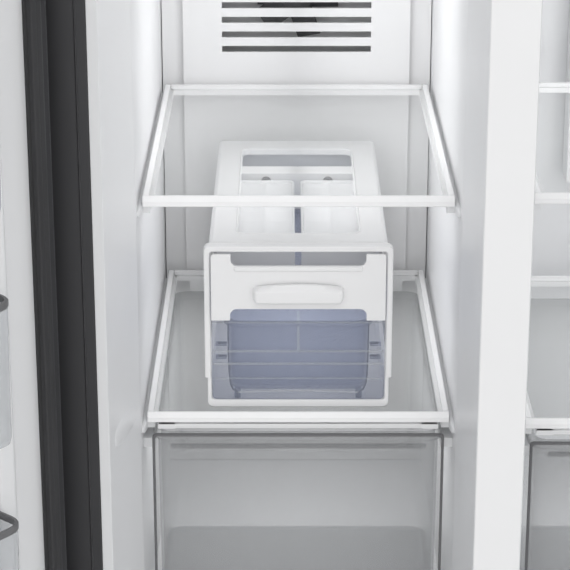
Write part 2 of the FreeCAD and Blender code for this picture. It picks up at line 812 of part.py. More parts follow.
def shelves():
    """The lowest shelves by themselves and the plain upper ones in two sets."""
    cold = ("wall_left", "wall_right")
    cool = ("cool_wall_left", "cool_wall_right")
    single = (
        ("freezer_lower_shelf", cold, FREEZER_LEVELS[0]),
        ("freezer_middle_shelf", cold, FREEZER_LEVELS[1]),
        ("fridge_lower_shelf", cool, FRIDGE_LEVELS[0]),
    )
    for name, walls, level in single:
        frame, glass = shelf_solids(name, walls, level)
        node(frame, f"{name}_frame")
        node(glass, f"{name}_glass")
    for side, walls, levels in (("freezer", cold, FREEZER_LEVELS[2:]), ("fridge", cool, FRIDGE_LEVELS[1:])):
        made = [shelf_solids(f"{side}_upper_shelf_{n}", walls, level) for n, level in enumerate(levels)]
        frames = joined(f"{side}_upper_frames", [frame for frame, glass in made])
        glasses = joined(f"{side}_upper_glasses", [glass for frame, glass in made])
        node(frames, f"{side}_upper_shelf_frames")
        node(glasses, f"{side}_upper_shelf_glasses")


# ---------------------------------------------------------------- drawers


def drawer(label, middle, walls, top, height, depth):
    """An open box with a rim that hangs on the side ledges and a thicker front."""
    body = new_body(f"{label}_body", middle, "drawer_front + 4", f"{top} - {height}")
    inner_width = f"({walls[1]}) - ({walls[0]})"
    box_width = f"({inner_width} - 2 * ledge_reach - 3)"
    rim_width = f"({inner_width} - 2 * drawer_gap)"
    body_sketch = sketch_on(body, f"{label}_outline", "XY_Plane")
    rectangle(body_sketch, box_width, depth, "0", f"({depth}) / 2")
    box = pad(body, body_sketch, f"{label}_box", height)
    soften(body, box, f"{label}_corners", "14", "z", lambda point: point.y > 50)
    rim = sketch_on(body, f"{label}_rim_outline", "XY_Plane", f"{height} - drawer_rim")
    rectangle(rim, rim_width, f"({depth}) - 6", "0", f"({depth}) / 2")
    pad(body, rim, f"{label}_rim", "drawer_rim")
    front = sketch_on(body, f"{label}_front_outline", "XZ_Plane")
    rectangle(front, rim_width, height, "0", f"({height}) / 2")
    pad(body, front, f"{label}_front", "4")
    hollow = sketch_on(body, f"{label}_hollow_outline", "XY_Plane", height)
    inside = (f"{box_width} - 2 * drawer_wall", f"({depth}) - 2 * drawer_wall")
    rectangle(hollow, inside[0], inside[1], "0", f"({depth}) / 2")
    pocket(body, hollow, f"{label}_hollow", f"({height}) - drawer_wall")
    node(body, label)


def drawers():
    """Two drawers in the foot of each compartment."""
    cold = ("freezer", "freezer_middle", ("wall_left", "wall_right"), "upper_drawer_top")
    cool = ("crisper", "fridge_middle", ("cool_wall_left", "cool_wall_right"), "crisper_top")
    for side, middle, walls, top in (cold, cool):
        label = f"{side}_upper_drawer"
        drawer(label, middle, walls, top, "upper_drawer_height", "upper_drawer_depth")
        label = f"{side}_lower_drawer"
        drawer(label, middle, walls, "lower_drawer_top", "lower_drawer_height", "lower_drawer_depth")


# ---------------------------------------------------------------- machine compartment


def compressor():
    """A welded can on a foot plate."""
    body = new_body("compressor_body", "compressor_x", "compressor_y", "case_bottom + floor_sheet")
    profile = sketch_on(body, "compressor_profile", "XZ_Plane")
    corners = [(0, 8), (78, 8), (88, 30), (88, 110), (70, 150), (0, 166)]
    points = [FreeCAD.Vector(across, up, 0) for across, up in corners]
    ends = points[1:] + points[:1]
    profile.addGeometry([Part.LineSegment(start, end) for start, end in zip(points, ends)], False)
    for number in range(len(points)):
        after = (number + 1) % len(points)
        profile.addConstraint(Sketcher.Constraint("Coincident", number, 2, after, 1))
    spin = body.newObject("PartDesign::Revolution", "compressor_can")
    spin.Profile = profile
    spin.ReferenceAxis = (profile, ["V_Axis"])
    spin.Angle = 360
    plate = sketch_on(body, "compressor_plate_outline", "XY_Plane")
    rectangle(plate, "220", "130")
    pad(body, plate, "compressor_plate", "10")
    node(body, "compressor")


def drain_tray():
    """The pan that catches melt water under the condenser."""
    low = "case_bottom + floor_sheet"
    x, y = ("pan_left", "pan_right"), ("pan_front", "pan_back")
    node(open_box("drain_pan", x, y, (low, f"{low} + pan_height"), "pan_wall"), "drain_tray")


def control_box():
    """The electrics box let into the back, with the power inlet recess."""
    x, z = ("control_left", "control_right"), ("control_low", "control_high")
    box = block("control_outside", x, ("case_depth - 26", "case_depth + 4"), z)
    recess_y = ("case_depth - 14", "case_depth + 5")
    recess = block("control_recess", inset(x, "22"), recess_y, inset(z, "15"))
    pins = []
    for number in range(3):
        start = (f"control_left + 37 + {10 * number}", "case_depth - 14.5", "control_low + 32")
        pins.append(rod(f"control_pin_{number}", "2.4", "y", start, "12"))
    node(joined("control_set", [less("control_shell", box, [recess])] + pins), "control_box")


# ---------------------------------------------------------------- hinges, feet


def mirrored_pair(name, maker):
    """A left and a right piece made by the same function."""
    return joined(name, [maker(side, sign) for side, sign in SIDES])


def span(sign, near, far):
    """Limits on X at two distances inwards from a side of the cabinet."""
    ends = (f"{sign} * (case_width / 2 - ({far}))", f"{sign} * (case_width / 2 - ({near}))")
    return ends if sign > 0 else (ends[1], ends[0])


def top_hinge(side, sign):
    """A plate on the roof of the case with the upper pin hanging from it."""
    y = ("-door_gap - pivot_depth - 16", "80")
    plate = block(f"top_hinge_plate_{side}", span(sign, "4", "60"), y, ("case_top", "case_top + 4"))
    start = (f"{sign} * (case_width / 2 - pivot_inset)", "-door_gap - pivot_depth", "door_high - 22")
    pin = rod(f"top_hinge_pin_{side}", "pin_radius", "z", start, "case_top + 4 - door_high + 22")
    return joined(f"top_hinge_{side}", [plate, pin])


def bottom_hinge(side, sign):
    """An angle on the front of the case with the lower pin standing on it."""
    x = span(sign, "4", "60")
    y = ("-door_gap - pivot_depth - 16", "0")
    plate = block(f"bottom_hinge_plate_{side}", x, y, ("door_low - 8", "door_low - 4"))
    web = block(f"bottom_hinge_web_{side}", x, ("-4", "0"), ("case_bottom + 4", "door_low - 4"))
    start = (f"{sign} * (case_width / 2 - pivot_inset)", "-door_gap - pivot_depth", "door_low - 8")
    pin = rod(f"bottom_hinge_pin_{side}", "pin_radius", "z", start, "30")
    return joined(f"bottom_hinge_{side}", [plate, web, pin])


def hinge_cover(side, sign):
    """The plastic cap over an upper hinge."""
    z = ("case_top + 0.5", "case_top + 30")
    outside = block(f"hinge_cover_outside_{side}", span(sign, "1", "66"), ("-60", "90"), z)
    high = value_of("case_top + 20")
    soft = rounded(f"hinge_cover_soft_{side}", outside, "6", "y", lambda middle: middle.z > high)
    inside_z = ("case_top", "case_top + 27")
    inside = block(f"hinge_cover_inside_{side}", span(sign, "3.5", "63.5"), ("-57.5", "87.5"), inside_z)
    return less(f"hinge_cover_{side}", soft, [inside])


def kick_grille():
    """The vented strip under the doors."""
    body = new_body("kick_grille_body", "0", "-6", "22")
    outline = sketch_on(body, "grille_outline", "XZ_Plane")
    rectangle(outline, "case_width - 10", "46", "0", "23")
    pad(body, outline, "grille_sheet", "10")
    slot = sketch_on(body, "grille_slot", "XZ_Plane", "10")
    rectangle(slot, "16", "26", "-case_width / 2 + 100", "23")
    cut = pocket(body, slot, "grille_vent", "10")
    row_of(body, cut, "grille_vents", "X_Axis", "case_width - 200", "29")
    node(body, "kick_grille")


def foot(side, sign):
    """A levelling foot on its threaded stud."""
    disc = rod(f"foot_pad_{side}", "foot_pad", "z", (f"{sign} * foot_x", "foot_y", "0"), "10")
    stud = rod(f"foot_stud_{side}", "stud_radius", "z", (f"{sign} * foot_x", "foot_y", "10"), "28")
    return joined(f"foot_{side}", [disc, stud])


def rear_rollers():
    """Two wheels on one axle."""
    start = ("-ear_far - 7", "axle_y", "axle_z")
    pieces = [rod("roller_axle", "axle_radius", "x", start, "2 * ear_far + 14")]
    for side, near in (("left", "-roller_near - roller_width"), ("right", "roller_near")):
        start = (near, "axle_y", "axle_z")
        pieces.append(rod(f"roller_{side}", "roller_radius", "x", start, "roller_width"))
    node(joined("roller_set", pieces), "rear_rollers")


# ---------------------------------------------------------------- doors


class Door:
    """Where one door lies when it is shut, from its hinge side inwards."""

    def __init__(self, name, sign):
        self.name = name
        self.sign = sign
        self.edges = ("case_left", "seam - door_seam") if sign < 0 else ("seam + door_seam", "case_right")
        mouth = ("freezer_left", "freezer_right") if sign < 0 else ("fridge_left", "fridge_right")
        self.dyke = (f"{mouth[0]} + dyke_clearance", f"{mouth[1]} - dyke_clearance")
        self.seal = ("case_left + gasket_inset", "seam - door_seam - 2")
        if sign > 0:
            self.seal = ("seam + door_seam + 2", "case_right - gasket_inset")
        self.pivot_x = f"{sign} * (case_width / 2 - pivot_inset)"
        self.pivot_y = "-door_gap - pivot_depth"

    def hang(self, item, label):
        """Swing a finished piece from shut to where the door stands open."""
        pivot = FreeCAD.Vector(value_of(self.pivot_x), value_of(self.pivot_y), 0)
        turn = FreeCAD.Rotation(FreeCAD.Vector(0, 0, 1), self.sign * value_of("door_open"))
        item.Placement = FreeCAD.Placement(pivot - turn.multVec(pivot), turn)
        node(item, label)


def door_skin(door):
    """The steel box of the door, open at the back, with a bush for a hinge pin at each end."""
    name = door.name
    z = ("door_low", "door_high")
    outside = block(f"{name}_outside", door.edges, ("door_front", "door_back"), z)
    near = value_of("door_front + 3")
    soft = rounded(f"{name}_soft", outside, "door_corner", "z", lambda middle: middle.y < near)
    inside_y = ("door_front + sheet_steel", "door_back + 1")
    inside = block(f"{name}_inside", inset(door.edges, "sheet_steel"), inside_y, inset(z, "sheet_steel"))
    bend = "door_corner - sheet_steel"
    round_inside = rounded(f"{name}_round_inside", inside, bend, "z", lambda middle: middle.y < near)
    shell = less(f"{name}_shell", soft, [round_inside])
    bushes = []
    bores = []
    for end, low in (("low", "door_low"), ("high", "door_high - bushing_length")):
        start = (door.pivot_x, door.pivot_y, low)
        bushes.append(rod(f"{name}_bush_{end}", "bushing_radius", "z", start, "bushing_length"))
        deeper = (door.pivot_x, door.pivot_y, f"{low} - 1")
        bore = rod(f"{name}_bore_{end}", "pin_radius + pin_play", "z", deeper, "bushing_length + 2")
        bores.append(bore)
    skin = less(f"{name}_skin_bored", joined(f"{name}_skin_set", [shell] + bushes), bores)
    door.hang(skin, f"{name}_skin")
    return bushes


def door_liner_parts(door):
    """The moulded inner panel: a flat rim, a raised dyke all round and a recess inside it."""
    name = door.name
    wall = "door_liner_wall"
    z = inset(("door_low", "door_high"), "sheet_steel")
    plate_y = (f"door_back - {wall}", "door_back")
    plate = block(f"{name}_plate", inset(door.edges, "sheet_steel"), plate_y, z)
    dyke_z = ("mouth_low + dyke_clearance", "mouth_high - dyke_clearance")
    near = ("door_back", "door_back + dyke_height")
    dyke = taper(f"{name}_dyke", near, door.dyke, dyke_z, inset(door.dyke, "3"), inset(dyke_z, "3"))
    core_x = inset(door.dyke, f"dyke_width - {wall}")
    core_z = inset(dyke_z, f"dyke_width - {wall}")
    tub = block(f"{name}_tub", core_x, (f"door_back - door_recess - {wall}", "door_back"), core_z)
    recess_x = inset(door.dyke, "dyke_width")
    recess_y = ("door_back - door_recess", "door_back + dyke_height + 1")
    recess = block(f"{name}_recess", recess_x, recess_y, inset(dyke_z, "dyke_width"))
    under_y = (f"door_back - {wall} - 1", f"door_back + dyke_height - {wall}")
    under_x = inset(door.dyke, f"{wall} + 3")
    under = block(f"{name}_dyke_hollow", under_x, under_y, inset(dyke_z, f"{wall} + 3"))
    core_y = ("door_back - door_recess - 9", "door_back + dyke_height + 3")
    core = block(f"{name}_dyke_core", core_x, core_y, core_z)
    channel = less(f"{name}_dyke_channel", under, [core])
    solid = joined(f"{name}_liner_set", [plate, dyke, tub])
    return solid, recess, channel


def door_panel(door):
    """The steel skin, the inner panel and the insulation between them."""
    name = door.name
    bushes = door_skin(door)
    solid, recess, channel = door_liner_parts(door)
    door.hang(less(f"{name}_liner_cut", solid, [recess, channel] + bushes), f"{name}_liner")
    x = inset(door.edges, "sheet_steel")
    z = inset(("door_low", "door_high"), "sheet_steel")
    fill = block(f"{name}_fill", x, ("door_front + sheet_steel", "door_back"), z)
    near = value_of("door_front + 3")
    bend = "door_corner - sheet_steel"
    round_fill = rounded(f"{name}_round_fill", fill, bend, "z", lambda middle: middle.y < near)
    door.hang(less(f"{name}_foam_cut", round_fill, [solid, recess] + bushes), f"{name}_foam")


def door_gasket(door):
    """The seal that runs round the back of the door."""
    name = door.name
    z = ("door_low + 6", "end_flange_high + 26")
    outer = block(f"{name}_gasket_outer", door.seal, ("door_back", "door_back + gasket_thick"), z)
    soft = rounded(f"{name}_gasket_soft", outer, "4", "y")
    inner_x = inset(door.seal, "gasket_width")
    inner = block(f"{name}_gasket_inner", inner_x, ("door_back - 1", "0"), inset(z, "gasket_width"))
    door.hang(less(f"{name}_gasket_ring", soft, [inner]), f"{name}_gasket")


def open_box(name, x, y, z, wall):
    """A box without a lid."""
    outside = block(f"{name}_outside", x, y, z)
    inside = block(f"{name}_inside", inset(x, wall), inset(y, wall), (f"{z[0]} + {wall}", f"{z[1]} + 1"))
    return less(f"{name}_box", outside, [inside])


def door_bins(door, lows):
    """A row of open bins between the sides of the dyke."""
    x = inset(door.dyke, "dyke_width + bin_side_gap")
    y = ("door_back - door_recess + 0.5", "door_back - door_recess + bin_reach")
    boxes = []
    for number, low in enumerate(lows):
        z = (str(low), f"{low} + bin_height")
        boxes.append(open_box(f"{door.name}_bin_{number}", x, y, z, "bin_wall"))
    return boxes


def door_handle(door):
    """A flat bar on two posts near the free edge."""
    name = door.name
    free = door.edges[1] if door.sign < 0 else door.edges[0]
    middle = f"{free} + {door.sign} * handle_inset"
    bar_y = ("door_front - handle_far", "door_front - handle_near")
    bar = block(f"{name}_bar", around(middle, "handle_half"), bar_y, ("handle_low", "handle_high"))
    soft = rounded(f"{name}_bar_soft", bar, "6", "z")
    posts = []
    lows = (("low", "handle_low + post_offset"), ("high", "handle_high - post_offset - post_height"))
    for end, low in lows:
        post_y = ("door_front - handle_near - 4", "door_front")
        z = (low, f"{low} + post_height")
        posts.append(block(f"{name}_post_{end}", around(middle, "post_half"), post_y, z))
    door.hang(joined(f"{name}_handle_set", [soft] + posts), f"{name}_handle")


def dairy_parts(door):
    """The dairy box and its flap, near the top of the wide door."""
    x = inset(door.dyke, "dyke_width + bin_side_gap")
    y = ("door_back - door_recess + 0.5", "door_back - door_recess + bin_reach")
    tray = open_box("dairy_tray", x, y, ("dairy_low", "dairy_low + dairy_tray_height"), "bin_wall")
    flap_x = inset(x, "3")
    pin_y = "door_back + dairy_pin_y"
    front = "door_back + flap_front"
    lid = block("dairy_lid", flap_x, (pin_y, front), ("flap_high - flap_thick", "flap_high"))
    face = block("dairy_face", flap_x, (f"{front} - flap_thick", front), ("flap_low", "flap_high"))
    start = (f"{x[0]} + 0.5", pin_y, "dairy_pin_z")
    pin = rod("dairy_pin", "dairy_pin_radius", "x", start, f"({x[1]}) - ({x[0]}) - 1")
    return tray, joined("dairy_cover_set", [lid, face, pin])


# ---------------------------------------------------------------- ice maker


def ice_shell():
    """The top plate with its long mouth, and the walls under it."""
    middle = "freezer_middle"
    low = "freezer_first_shelf + ice_base_height"
    y = ("ice_front + bezel_depth", "ice_back")
    high = value_of("ice_top - 2")
    outer = block("housing_outer", around(middle, "housing_width / 2"), y, (low, "ice_top"))
    soft = rounded("housing_soft", outer, "5", "y", lambda point: point.z > high)
    hollow_x = around(middle, "housing_width / 2 - ice_wall")
    hollow_z = (f"{low} - 1", "ice_top - ice_wall")
    hollow = block("housing_hollow", hollow_x, ("ice_front", "ice_back - ice_wall"), hollow_z)
    start = "ice_front + ice_mouth_start"
    mouth_y = (start, f"{start} + ice_mouth_length")
    mouth_z = ("ice_top - ice_wall - 1", "ice_top + 1")
    mouth = block("housing_mouth", around(middle, "ice_mouth_width / 2"), mouth_y, mouth_z)
    return less("housing_shell", soft, [hollow, rounded("housing_round_mouth", mouth, "14", "z")])


def ice_bezel():
    """The rim in front of the shell, open below."""
    low = "freezer_first_shelf + ice_base_height"
    y = ("ice_front", "ice_front + bezel_depth")
    high = value_of("ice_top - 2")
    outer = block("bezel_outer", around("freezer_middle", "ice_width / 2"), y, (low, "ice_top"))
    soft = rounded("bezel_soft", outer, "5", "y", lambda point: point.z > high)
    hole_x = around("freezer_middle", "ice_width / 2 - bezel_rim")
    hole = block("bezel_hole", hole_x, inset(y, "-1"), (f"{low} - 1", "ice_top - bezel_rim"))
    return less("bezel_ring", soft, [hole])


def ice_housing():
    """The upper shell, its front bezel and the ledges that carry the tray frame."""
    y = ("ice_front + 14", "ice_back - 70")
    z = ("tray_axis - 16", "tray_axis - 12")
    pieces = [ice_shell(), ice_bezel()]
    for side, sign in SIDES:
        wall = f"freezer_middle + {sign} * (housing_width / 2 - ice_wall - 1.5)"
        pieces.append(block(f"tray_ledge_{side}", around(wall, "2.5"), y, z))
    node(joined("housing_set", pieces), "ice_maker_housing")


def ice_base():
    """The tray under the shell that the bucket slides on."""
    middle = "freezer_middle"
    low = "freezer_first_shelf"
    half = "ice_base_width / 2"
    y = ("ice_front + 2", "ice_back")
    z = (f"{low} + ice_lift", f"{low} + ice_base_height")
    outer = block("ice_base_outer", around(middle, half), y, z)
    foot_level = value_of(f"{low} + 5")
    soft = rounded("ice_base_soft", outer, "6", "y", lambda point: point.z < foot_level)
    room_y = ("ice_front", "ice_back - ice_wall")
    room_z = (f"{low} + ice_floor", f"{low} + ice_base_height + 1")
    room = block("ice_base_room", around(middle, f"{half} - 4"), room_y, room_z)
    under_y = ("ice_front + 14", "ice_back - 12")
    under_z = (f"{low} - 1", f"{low} + ice_floor - 3")
    under = block("ice_base_under", around(middle, f"{half} - 12"), under_y, under_z)
    node(less("ice_base_shell", soft, [room, under]), "ice_maker_base")


def ice_panel():
    """The front panel with a notch above and a notch below."""
    middle = "freezer_middle"
    top = "(ice_top - bezel_rim - 1)"
    y = ("ice_front + 2", "panel_back")
    sheet_x = around(middle, "ice_width / 2 - bezel_rim - 1")
    panel = block("panel_sheet", sheet_x, y, (f"{top} - panel_height", top))
    upper_z = (f"{top} - notch_height", f"{top} + 1")
    upper = block("panel_upper_notch", around(middle, "notch_width / 2"), inset(y, "-1"), upper_z)
    lower_x = around(middle, "notch_width / 2 + 1")
    lower_z = (f"{top} - panel_height - 1", f"{top} - panel_height + notch_height")
    lower = block("panel_lower_notch", lower_x, inset(y, "-1"), lower_z)
    return less("panel_face", panel, [upper, lower])


def lever_cap(side, sign):
    """A fixed end of the lever bar, rounded on its outer side, with a bearing for the lever pin."""
    half = f"{sign} * (lever_width / 2 - lever_cap / 2)"
    x = around(f"freezer_middle + {half}", "lever_cap / 2")
    y = ("ice_front + 1.4 - lever_reach", "ice_front + 2.5")
    cap = block(f"lever_cap_{side}", x, y, ("lever_top - lever_height", "lever_top"))
    outer = value_of(f"freezer_middle + {half}")
    near = value_of("ice_front - 5")
    wanted = lambda point: point.y < near and sign * (point.x - outer) > 0
    return rounded(f"lever_cap_soft_{side}", cap, "4", "z", wanted)


def ice_tray_frame():
    """The front panel, the side rails, the two bearing walls and the lever ends."""
    middle = "freezer_middle"
    z = ("tray_axis - 12", "tray_axis + 15")
    wall_x = around(middle, "housing_width / 2 - 8")
    rear = "ice_front + bearing_rear + bearing_rear_depth"
    front_y = ("ice_front + bearing_front", "ice_front + bearing_front + bearing_front_depth")
    pieces = [
        ice_panel(),
        block("front_bearing", wall_x, front_y, z),
        block("rear_bearing", wall_x, ("ice_front + bearing_rear", rear), z),
    ]
    bores = []
    for side, sign in SIDES:
        rail = f"{middle} + {sign} * (housing_width / 2 - ice_wall - 3.25)"
        rail_z = ("tray_axis - 12", "tray_axis - 4")
        pieces.append(block(f"tray_rail_{side}", around(rail, "2.75"), ("panel_back", rear), rail_z))
        pieces.append(lever_cap(side, sign))
        start = (f"{middle} + {sign} * tray_offset", "ice_front + bearing_front - 1", "tray_axis")
        bores.append(rod(f"tray_bore_{side}", "tray_pin + pin_play", "y", start, "250"))
    start = (f"{middle} - lever_width / 2 + 1", "lever_y", "lever_z")
    bores.append(rod("lever_bore", "lever_pin + pin_play", "x", start, "lever_width - 2"))
    node(less("tray_frame_cut", joined("tray_frame_set", pieces), bores), "ice_tray_frame")


def ice_lever():
    """The lever bar on the front panel that twists both trays, with a pin that runs into its ends."""
    x = around("freezer_middle", "lever_width / 2 - lever_cap - lever_gap")
    y = ("ice_front + 1.4 - lever_reach", "ice_front + 1.4")
    bar = block("lever_bar", x, y, ("lever_top - lever_height", "lever_top"))
    near = value_of("ice_front - 5")
    soft = rounded("lever_soft", bar, "3", "x", lambda point: point.y < near)
    start = ("freezer_middle - lever_width / 2 + 2", "lever_y", "lever_z")
    pin = rod("lever_axle", "lever_pin", "x", start, "lever_width - 4")
    node(joined("lever_set", [soft, pin]), "ice_lever")


def ice_tray(side, sign):
    """A twist tray with rows of ice cells and a pin at each end."""
    label = f"ice_tray_{side}"
    centre = f"freezer_middle + {sign} * tray_offset"
    body = new_body(f"{label}_body", centre, "ice_front + tray_start", "tray_axis - tray_height / 2")
    outline = sketch_on(body, f"{label}_outline", "XY_Plane")
    rectangle(outline, "tray_width", "tray_length", "0", "tray_length / 2")
    box = pad(body, outline, f"{label}_box", "tray_height")
    soften(body, box, f"{label}_corners", "5", "z")
    cell_width = "(tray_width - (tray_columns + 1) * cell_wall) / tray_columns"
    cell_length = "(tray_length - (tray_rows + 1) * cell_wall) / tray_rows"
    reach = f"(tray_rows - 1) * ({cell_length} + cell_wall)"
    for column, hand in ((0, -1), (1, 1)):
        cell = sketch_on(body, f"{label}_cell_{column}", "XY_Plane", "tray_height")
        across = f"{hand} * ({cell_width} + cell_wall) / 2"
        rectangle(cell, cell_width, cell_length, across, f"cell_wall + {cell_length} / 2")
        cut = pocket(body, cell, f"{label}_cell_cut_{column}", "tray_height - 4")
        row_of(body, cut, f"{label}_cells_{column}", "Y_Axis", reach, "tray_rows")
    pin = sketch_on(body, f"{label}_pin_outline", "XZ_Plane")
    circle(pin, "tray_pin", "0", "tray_height / 2")
    pad(body, pin, f"{label}_front_pin", "6")
    rear = sketch_on(body, f"{label}_rear_pin_outline", "XZ_Plane", "-tray_length")
    circle(rear, "tray_pin", "0", "tray_height / 2")
    pad(body, rear, f"{label}_rear_pin", "10").Reversed = True
    node(body, label)


def ice_bucket():
    """The ice drawer: a long open box behind a wider front plate with a raised tongue."""
    middle = "freezer_middle"
    low = "freezer_first_shelf + ice_floor + ice_lift"
    high = "ice_top - bucket_top_drop"
    plate_x = around(middle, "ice_width / 2 - bezel_rim - 1")
    plate_y = ("ice_front + 2", "panel_back")
    plate = block("bucket_plate", plate_x, plate_y, (f"{low} + 0.4", f"{high} - 0.5"))
    tongue_z = (f"{high} - 1", f"{high} + notch_height - 1")
    tongue = block("bucket_tongue", around(middle, "notch_width / 2"), plate_y, tongue_z)
    inner = around(middle, "bucket_half")
    box_y = ("panel_back", "panel_back + bucket_length")
    outside = block("bucket_outside", inner, box_y, (low, f"{high} - 4"))
    foot_level = value_of(f"{low} + 8")
    soft = rounded("bucket_soft", outside, "6", "y", lambda point: point.z < foot_level)
    room_z = (f"{low} + bin_wall", high)
    inside = block("bucket_inside", inset(inner, "bin_wall"), inset(box_y, "bin_wall"), room_z)
    soft_inside = rounded("bucket_soft_inside", inside, "4", "y", lambda point: point.z < foot_level)
    node(less("bucket_shell", joined("bucket_set", [plate, tongue, soft]), [soft_inside]), "ice_bucket")


# ---------------------------------------------------------------- the whole refrigerator


def cabinet():
    """Everything that stays put when the doors swing."""
    outer_case()
    back_panel()
    machine_cover()
    base_frame()
    cold = (("freezer_left", "freezer_right"), ("wall_left", "wall_right"))
    cool = (("fridge_left", "fridge_right"), ("cool_wall_left", "cool_wall_right"))
    cold_form = liner("freezer", cold[0], cold[1], FREEZER_LEVELS, "upper_drawer_top")
    cool_form = liner("fridge", cool[0], cool[1], FRIDGE_LEVELS, "crisper_top")
    cabinet_foam([cold_form, cool_form])
    mullion_cover()
    evaporator_cover()
    coil_x = inset(cold[1], "coil_side_gap")
    coil_y, coil_z = ("coil_front", "coil_back"), ("coil_low", "coil_high")
    finned_coil("evaporator", "evaporator_coil", coil_x, coil_y, coil_z, 18, 5, 2)
    fan("cold", "evaporator_fan", 5, ("freezer_middle", "cold_fan_y", "cold_fan_z"), "y")
    fridge_air_duct()
    damper_flap()
    lamp_covers()
    compressor()
    coil_x, coil_y = ("condenser_left", "condenser_right"), ("condenser_front", "condenser_back")
    finned_coil("condenser", "condenser", coil_x, coil_y, ("condenser_low", "condenser_high"), 20, 3, 3)
    fan("warm", "condenser_fan", 5, ("warm_fan_x", "warm_fan_y", "warm_fan_z"), "x")
    fan_motors()
    drain_tray()
    control_box()
    node(mirrored_pair("top_hinge_set", top_hinge), "top_hinge_brackets")
    node(mirrored_pair("bottom_hinge_set", bottom_hinge), "bottom_hinge_brackets")
    node(mirrored_pair("hinge_cover_set", hinge_cover), "hinge_covers")
    kick_grille()
    node(mirrored_pair("foot_set", foot), "levelling_feet")
    rear_rollers()


def doors():
    """Both doors with their seals, handles and bins."""
    freezer = Door("freezer_door", -1)
    fridge = Door("fridge_door", 1)
    for door in (freezer, fridge):
        door_panel(door)
        door_gasket(door)
        door_handle(door)
    cold_bins = door_bins(freezer, (299, 502, 705, 908, 1111, 1314))
    freezer.hang(joined("freezer_bin_set", cold_bins), "freezer_door_bins")
    tray, cover = dairy_parts(fridge)
    cool_bins = door_bins(fridge, (210, 480, 750, 1020))
    fridge.hang(joined("fridge_bin_set", cool_bins + [tray]), "fridge_door_bins")
    fridge.hang(cover, "dairy_cover")


def ice_maker():
    """The twist-tray ice maker that stands on the lowest freezer shelf."""
    ice_housing()
    ice_base()
    ice_tray_frame()
    ice_lever()
    for side, sign in SIDES:
        ice_tray(side, sign)
    ice_bucket()


def write_parts():
    """Check every object and write each sub-part to its own file."""
    doc.recompute()
    for item in doc.Objects:
        if "Invalid" in item.State or "Error" in item.State:
            raise ValueError(f"{item.Name} failed: {item.State}")
    os.makedirs("parts", exist_ok=True)
    for item in nodes:
        if item.Shape.isNull() or not item.Shape.isValid():
            raise ValueError(f"{item.Label} has no valid shape")
        item.Shape.exportStep(os.path.join("parts", item.Label + ".step"))


cabinet()
shelves()
drawers()
doors()
ice_maker()
write_parts()
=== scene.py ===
import json
import math

import bmesh
import bpy
from mathutils import Matrix, Vector


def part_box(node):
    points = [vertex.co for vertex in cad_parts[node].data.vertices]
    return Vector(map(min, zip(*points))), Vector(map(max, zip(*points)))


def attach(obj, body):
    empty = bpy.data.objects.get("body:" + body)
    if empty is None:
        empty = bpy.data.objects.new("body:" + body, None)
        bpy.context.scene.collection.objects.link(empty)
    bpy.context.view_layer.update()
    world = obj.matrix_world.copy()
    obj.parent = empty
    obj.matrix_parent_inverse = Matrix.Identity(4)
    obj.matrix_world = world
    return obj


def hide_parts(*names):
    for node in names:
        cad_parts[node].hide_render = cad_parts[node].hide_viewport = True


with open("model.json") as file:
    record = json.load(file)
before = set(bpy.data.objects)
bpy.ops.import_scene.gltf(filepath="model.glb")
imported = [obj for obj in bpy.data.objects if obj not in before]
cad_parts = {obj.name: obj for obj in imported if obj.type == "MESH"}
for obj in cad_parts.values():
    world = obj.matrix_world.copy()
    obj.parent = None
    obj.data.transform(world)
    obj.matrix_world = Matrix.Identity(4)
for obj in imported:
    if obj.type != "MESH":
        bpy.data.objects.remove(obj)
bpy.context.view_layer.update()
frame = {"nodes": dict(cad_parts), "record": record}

MM = 0.001
WORN_EDGE = 0.0012  # how far from an edge its paint is worn, in metres
BODY_OF = {node: body for body, nodes in frame["record"]["behaviour"]["bodies"].items() for node in nodes}


# ---------------- materials


def new_node(tree, kind, **sockets):
    """A shader node with some of its inputs set or linked."""
    node = tree.nodes.new(kind)
    for name, value in sockets.items():
        socket = node.inputs[name.replace("_", " ")]
        if isinstance(value, bpy.types.NodeSocket):
            tree.links.new(value, socket)
        else:
            socket.default_value = value
    return node


def stretched(tree, scale):
    """Object coordinates, stretched per axis."""
    place = tree.nodes.new("ShaderNodeTexCoord").outputs["Object"]
    return new_node(tree, "ShaderNodeMapping", Vector=place, Scale=scale).outputs["Vector"]


def noise(tree, where, scale, detail=2.0):
    """A noise between 0 and 1 at a place."""
    return new_node(tree, "ShaderNodeTexNoise", Vector=where, Scale=scale, Detail=detail).outputs["Fac"]


def ranged(tree, value, low, high, start, end):
    """A value that runs from low to high while the given one runs from start to end."""
    limits_of = {"From_Min": start, "From_Max": end, "To_Min": low, "To_Max": high}
    return new_node(tree, "ShaderNodeMapRange", Value=value, **limits_of).outputs["Result"]


def mixed(tree, share, first, second):
    """A colour between two others, each given as numbers or as a socket."""
    node = tree.nodes.new("ShaderNodeMix")
    node.data_type = "RGBA"
    for socket, value in zip((node.inputs[0], node.inputs[6], node.inputs[7]), (share, first, second)):
        if isinstance(value, bpy.types.NodeSocket):
            tree.links.new(value, socket)
        else:
            socket.default_value = (*value, 1.0)
    return node.outputs[2]


def multiplied(tree, operation, first, second):
    """The product of two sockets, or the dot product of two directions."""
    directions = operation == "DOT_PRODUCT"
    node = tree.nodes.new("ShaderNodeVectorMath" if directions else "ShaderNodeMath")
    node.operation = operation
    tree.links.new(first, node.inputs[0])
    tree.links.new(second, node.inputs[1])
    return node.outputs["Value"]


